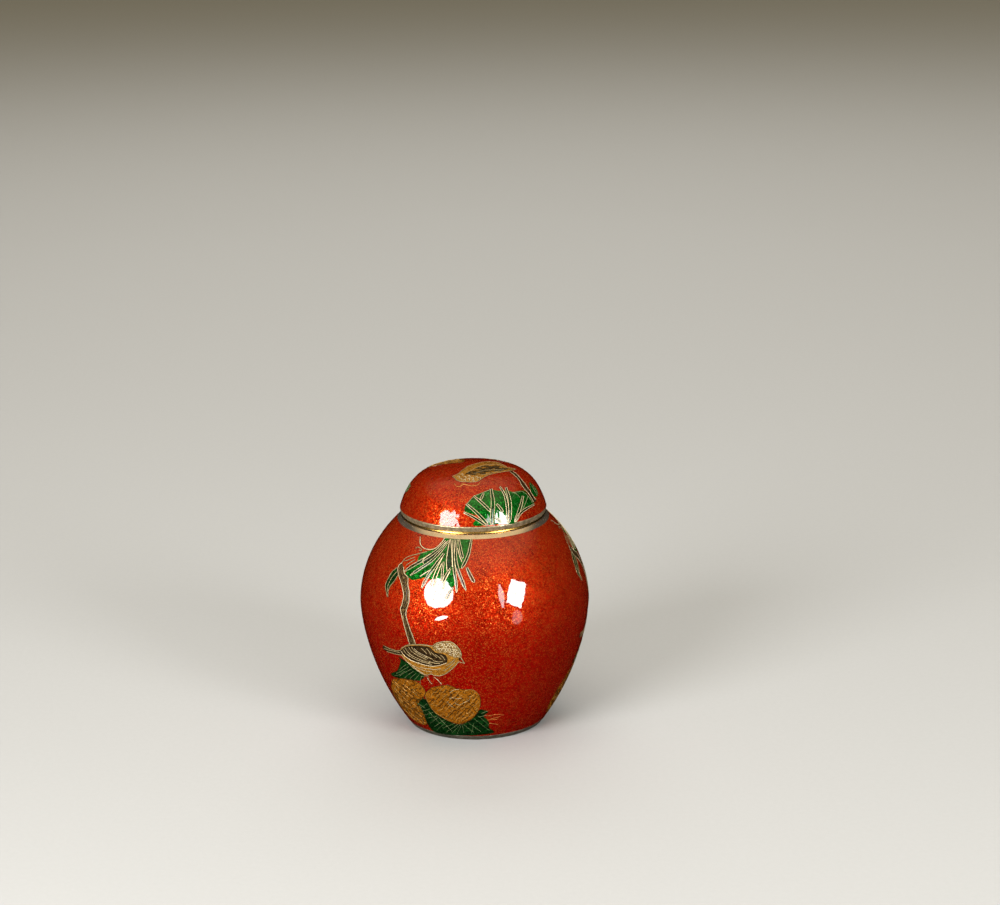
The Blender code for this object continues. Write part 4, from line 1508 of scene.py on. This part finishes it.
@dataclass
class LidShell:
    """The lid without its pictures: red coat, turquoise lining, and brass band."""

    form: DomeForm
    coat_bottom: float = 84.52
    coat_depth: float = 1.0
    lining_depth: float = 2.4
    lining_wall: float = 0.4
    lining_bottom: float = 84.8
    band_bottom: float = 81.8
    band_bore: float = 25.1
    band_taper: float = 0.5
    band_proud: float = 0.12
    band_shoulder: float = 0.3
    band_inset: float = 0.25
    band_crest: float = 0.05
    lip_step: float = 0.12
    lip_top: float = 82.4
    lip_flare: float = 0.3
    edge_ease: float = 0.22
    coat_stations: int = 70
    lining_stations: int = 40

    def coat(self) -> bpy.types.Object:
        """Returns the red coat."""
        return fired_coat("lid_red_coat", self.form, self.coat_depth, (self.coat_bottom, self.form.top),
                          (self.coat_stations, self.coat_stations // 2))

    def lining(self) -> bpy.types.Object:
        """Returns the counter-enamel inside the lid."""
        outline = self.form.outline()
        ends = (self.lining_bottom, self.form.top)
        outer = layer(outline, self.lining_depth, *ends, self.lining_stations)
        inner = layer(outline, self.lining_depth + self.lining_wall, *ends, self.lining_stations)
        return spun("lid_turquoise_lining", outer + inner[::-1])

    def band(self) -> bpy.types.Object:
        """Returns the band round the lid's edge."""
        reach = self.form.radius + self.band_proud
        return spun("lid_brass_band", [
            (reach - self.band_taper, self.lip_top),
            (reach, self.form.bottom - self.band_shoulder),
            (self.form.radius - self.band_inset, self.form.bottom + self.band_crest),
            (self.band_bore, self.form.bottom), (self.band_bore, self.lip_top)], self.edge_ease)

    def lip(self) -> bpy.types.Object:
        """Returns the band's polished lower lip, which flares a little."""
        waist = self.form.radius + self.band_proud - self.band_taper - self.lip_step
        return spun("lid_band_lip", [
            (waist + self.lip_flare, self.band_bottom), (waist, self.lip_top),
            (self.band_bore, self.lip_top), (self.band_bore, self.band_bottom)], self.edge_ease / 3)

    def build(self) -> None:
        """Builds the shell's pieces and settles them on the lid."""
        settle(self.coat(), "lid", Glaze.LID_RED, "lid_enamel")
        settle(self.lining(), "lid", Glaze.TURQUOISE, "lid_lining")
        settle(self.band(), "lid", Glaze.BAND, "lid_band")
        settle(self.lip(), "lid", Glaze.LIP, "lid_band")


class Shape(Enum):
    """The outlines that a soft light can have."""

    OBLONG = "RECTANGLE"
    ROUND = "ELLIPSE"


@dataclass(frozen=True)
class Softbox:
    """One soft light, aimed at the jar."""

    name: str
    bearing: float
    climb: float
    width: float
    height: float
    radiance: float
    shape: Shape = Shape.OBLONG
    roll: float = 0.0
    glints: bool = True
    distance: float = 1200.0
    colour: Colour = (1.0, 0.98, 0.95)

    def build(self, target: Vector) -> None:
        """Adds the light, facing a target given in millimetres."""
        data = bpy.data.lights.new(self.name, "AREA")
        data.shape = self.shape.value
        data.size = self.width * MM
        data.size_y = self.height * MM
        data.color = self.colour
        area = data.size * data.size_y * (pi / 4 if self.shape is Shape.ROUND else 1.0)
        data.energy = self.radiance * pi * area
        light = bpy.data.objects.new(self.name, data)
        level = cos(radians(self.climb))
        away = Vector((sin(radians(self.bearing)) * level, -cos(radians(self.bearing)) * level,
                       sin(radians(self.climb))))
        light.location = (target + away * self.distance) * MM
        aim = away.to_track_quat("Z", "Y") @ Quaternion((0, 0, 1), radians(self.roll))
        light.rotation_euler = aim.to_euler()
        light.visible_camera = False
        light.visible_glossy = self.glints
        bpy.context.scene.collection.objects.link(light)


@dataclass
class Studio:
    """Floor, soft light and camera."""

    floor_reach: float = 9000.0
    floor_cuts: int = 8
    sky: Colour = (1.0, 0.83, 0.50)
    sky_low: float = 0.0
    sky_high: float = 0.62
    sky_start: float = 0.5
    sky_full: float = 0.85
    target: tuple[float, float, float] = (0.0, 0.0, 60.0)
    lights: tuple[Softbox, ...] = (
        Softbox("left_softbox", -38.5, 20.5, 640, 570, 24.0, Shape.ROUND),
        Softbox("right_softbox", 45, 18, 345, 470, 24.0, Shape.OBLONG, -31),
        Softbox("right_sliver", 28.5, 19, 120, 470, 9.0, Shape.ROUND),
        Softbox("right_tail", 42, -4, 230, 320, 2.2, Shape.ROUND),
        Softbox("low_strip", -31, -2, 115, 34, 24.0, Shape.ROUND, 16, True, 500.0),
        Softbox("top_fill", 0, 80, 1300, 1300, 1.8, Shape.ROUND, 0, False),
        Softbox("back_fill", 180, 42, 1600, 1000, 2.6, Shape.ROUND, 0, False, 1500.0),
    )

    def build(self) -> None:
        """Builds the floor, the lights and the camera."""
        start_fresh()
        bpy.ops.mesh.primitive_plane_add(size=self.floor_reach * MM)
        floor = bpy.context.object
        floor.name = "pale_floor"
        with editing():
            bpy.ops.mesh.subdivide(number_cuts=self.floor_cuts)
        floor.data.materials.append(PlainFloor().material())
        floor.visible_glossy = False
        for light in self.lights:
            light.build(Vector(self.target))
        self.build_sky()
        bpy.context.scene.view_settings.view_transform = "Standard"
        PhotoCamera().build()

    def build_sky(self) -> None:
        """Adds a dim surrounding that brightens smoothly overhead, as a white ceiling does."""
        world = bpy.data.worlds.new("studio")
        world.use_nodes = True
        tree = world.node_tree
        direction = tree.nodes.new("ShaderNodeTexCoord")
        split = tree.nodes.new("ShaderNodeSeparateXYZ")
        climb = tree.nodes.new("ShaderNodeMapRange")
        climb.interpolation_type = "SMOOTHSTEP"
        limits = {"From Min": self.sky_start, "From Max": self.sky_full, "To Min": self.sky_low,
                  "To Max": self.sky_high}
        for name, value in limits.items():
            climb.inputs[name].default_value = value
        backdrop = tree.nodes["Background"]
        backdrop.inputs["Color"].default_value = (*self.sky, 1.0)
        tree.links.new(direction.outputs["Generated"], split.inputs["Vector"])
        tree.links.new(split.outputs["Z"], climb.inputs["Value"])
        tree.links.new(climb.outputs["Result"], backdrop.inputs["Strength"])
        bpy.context.scene.world = world


def main() -> None:
    """Builds the dressed jar around its frame."""
    logging.basicConfig(level=logging.INFO, format="%(name)s %(message)s")
    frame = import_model()
    jar_form = JarForm()
    dome_form = DomeForm()
    Studio().build()
    JarShell(jar_form).build()
    LidShell(dome_form).build()
    JarPictures(jar_form).build()
    LidPictures(dome_form).build()
    for node in ("jar_body", "lid_dome"):
        Glaze.COPPER.dress(frame["nodes"][node])
    bpy.context.view_layer.update()


if __name__ == "__main__":
    main()
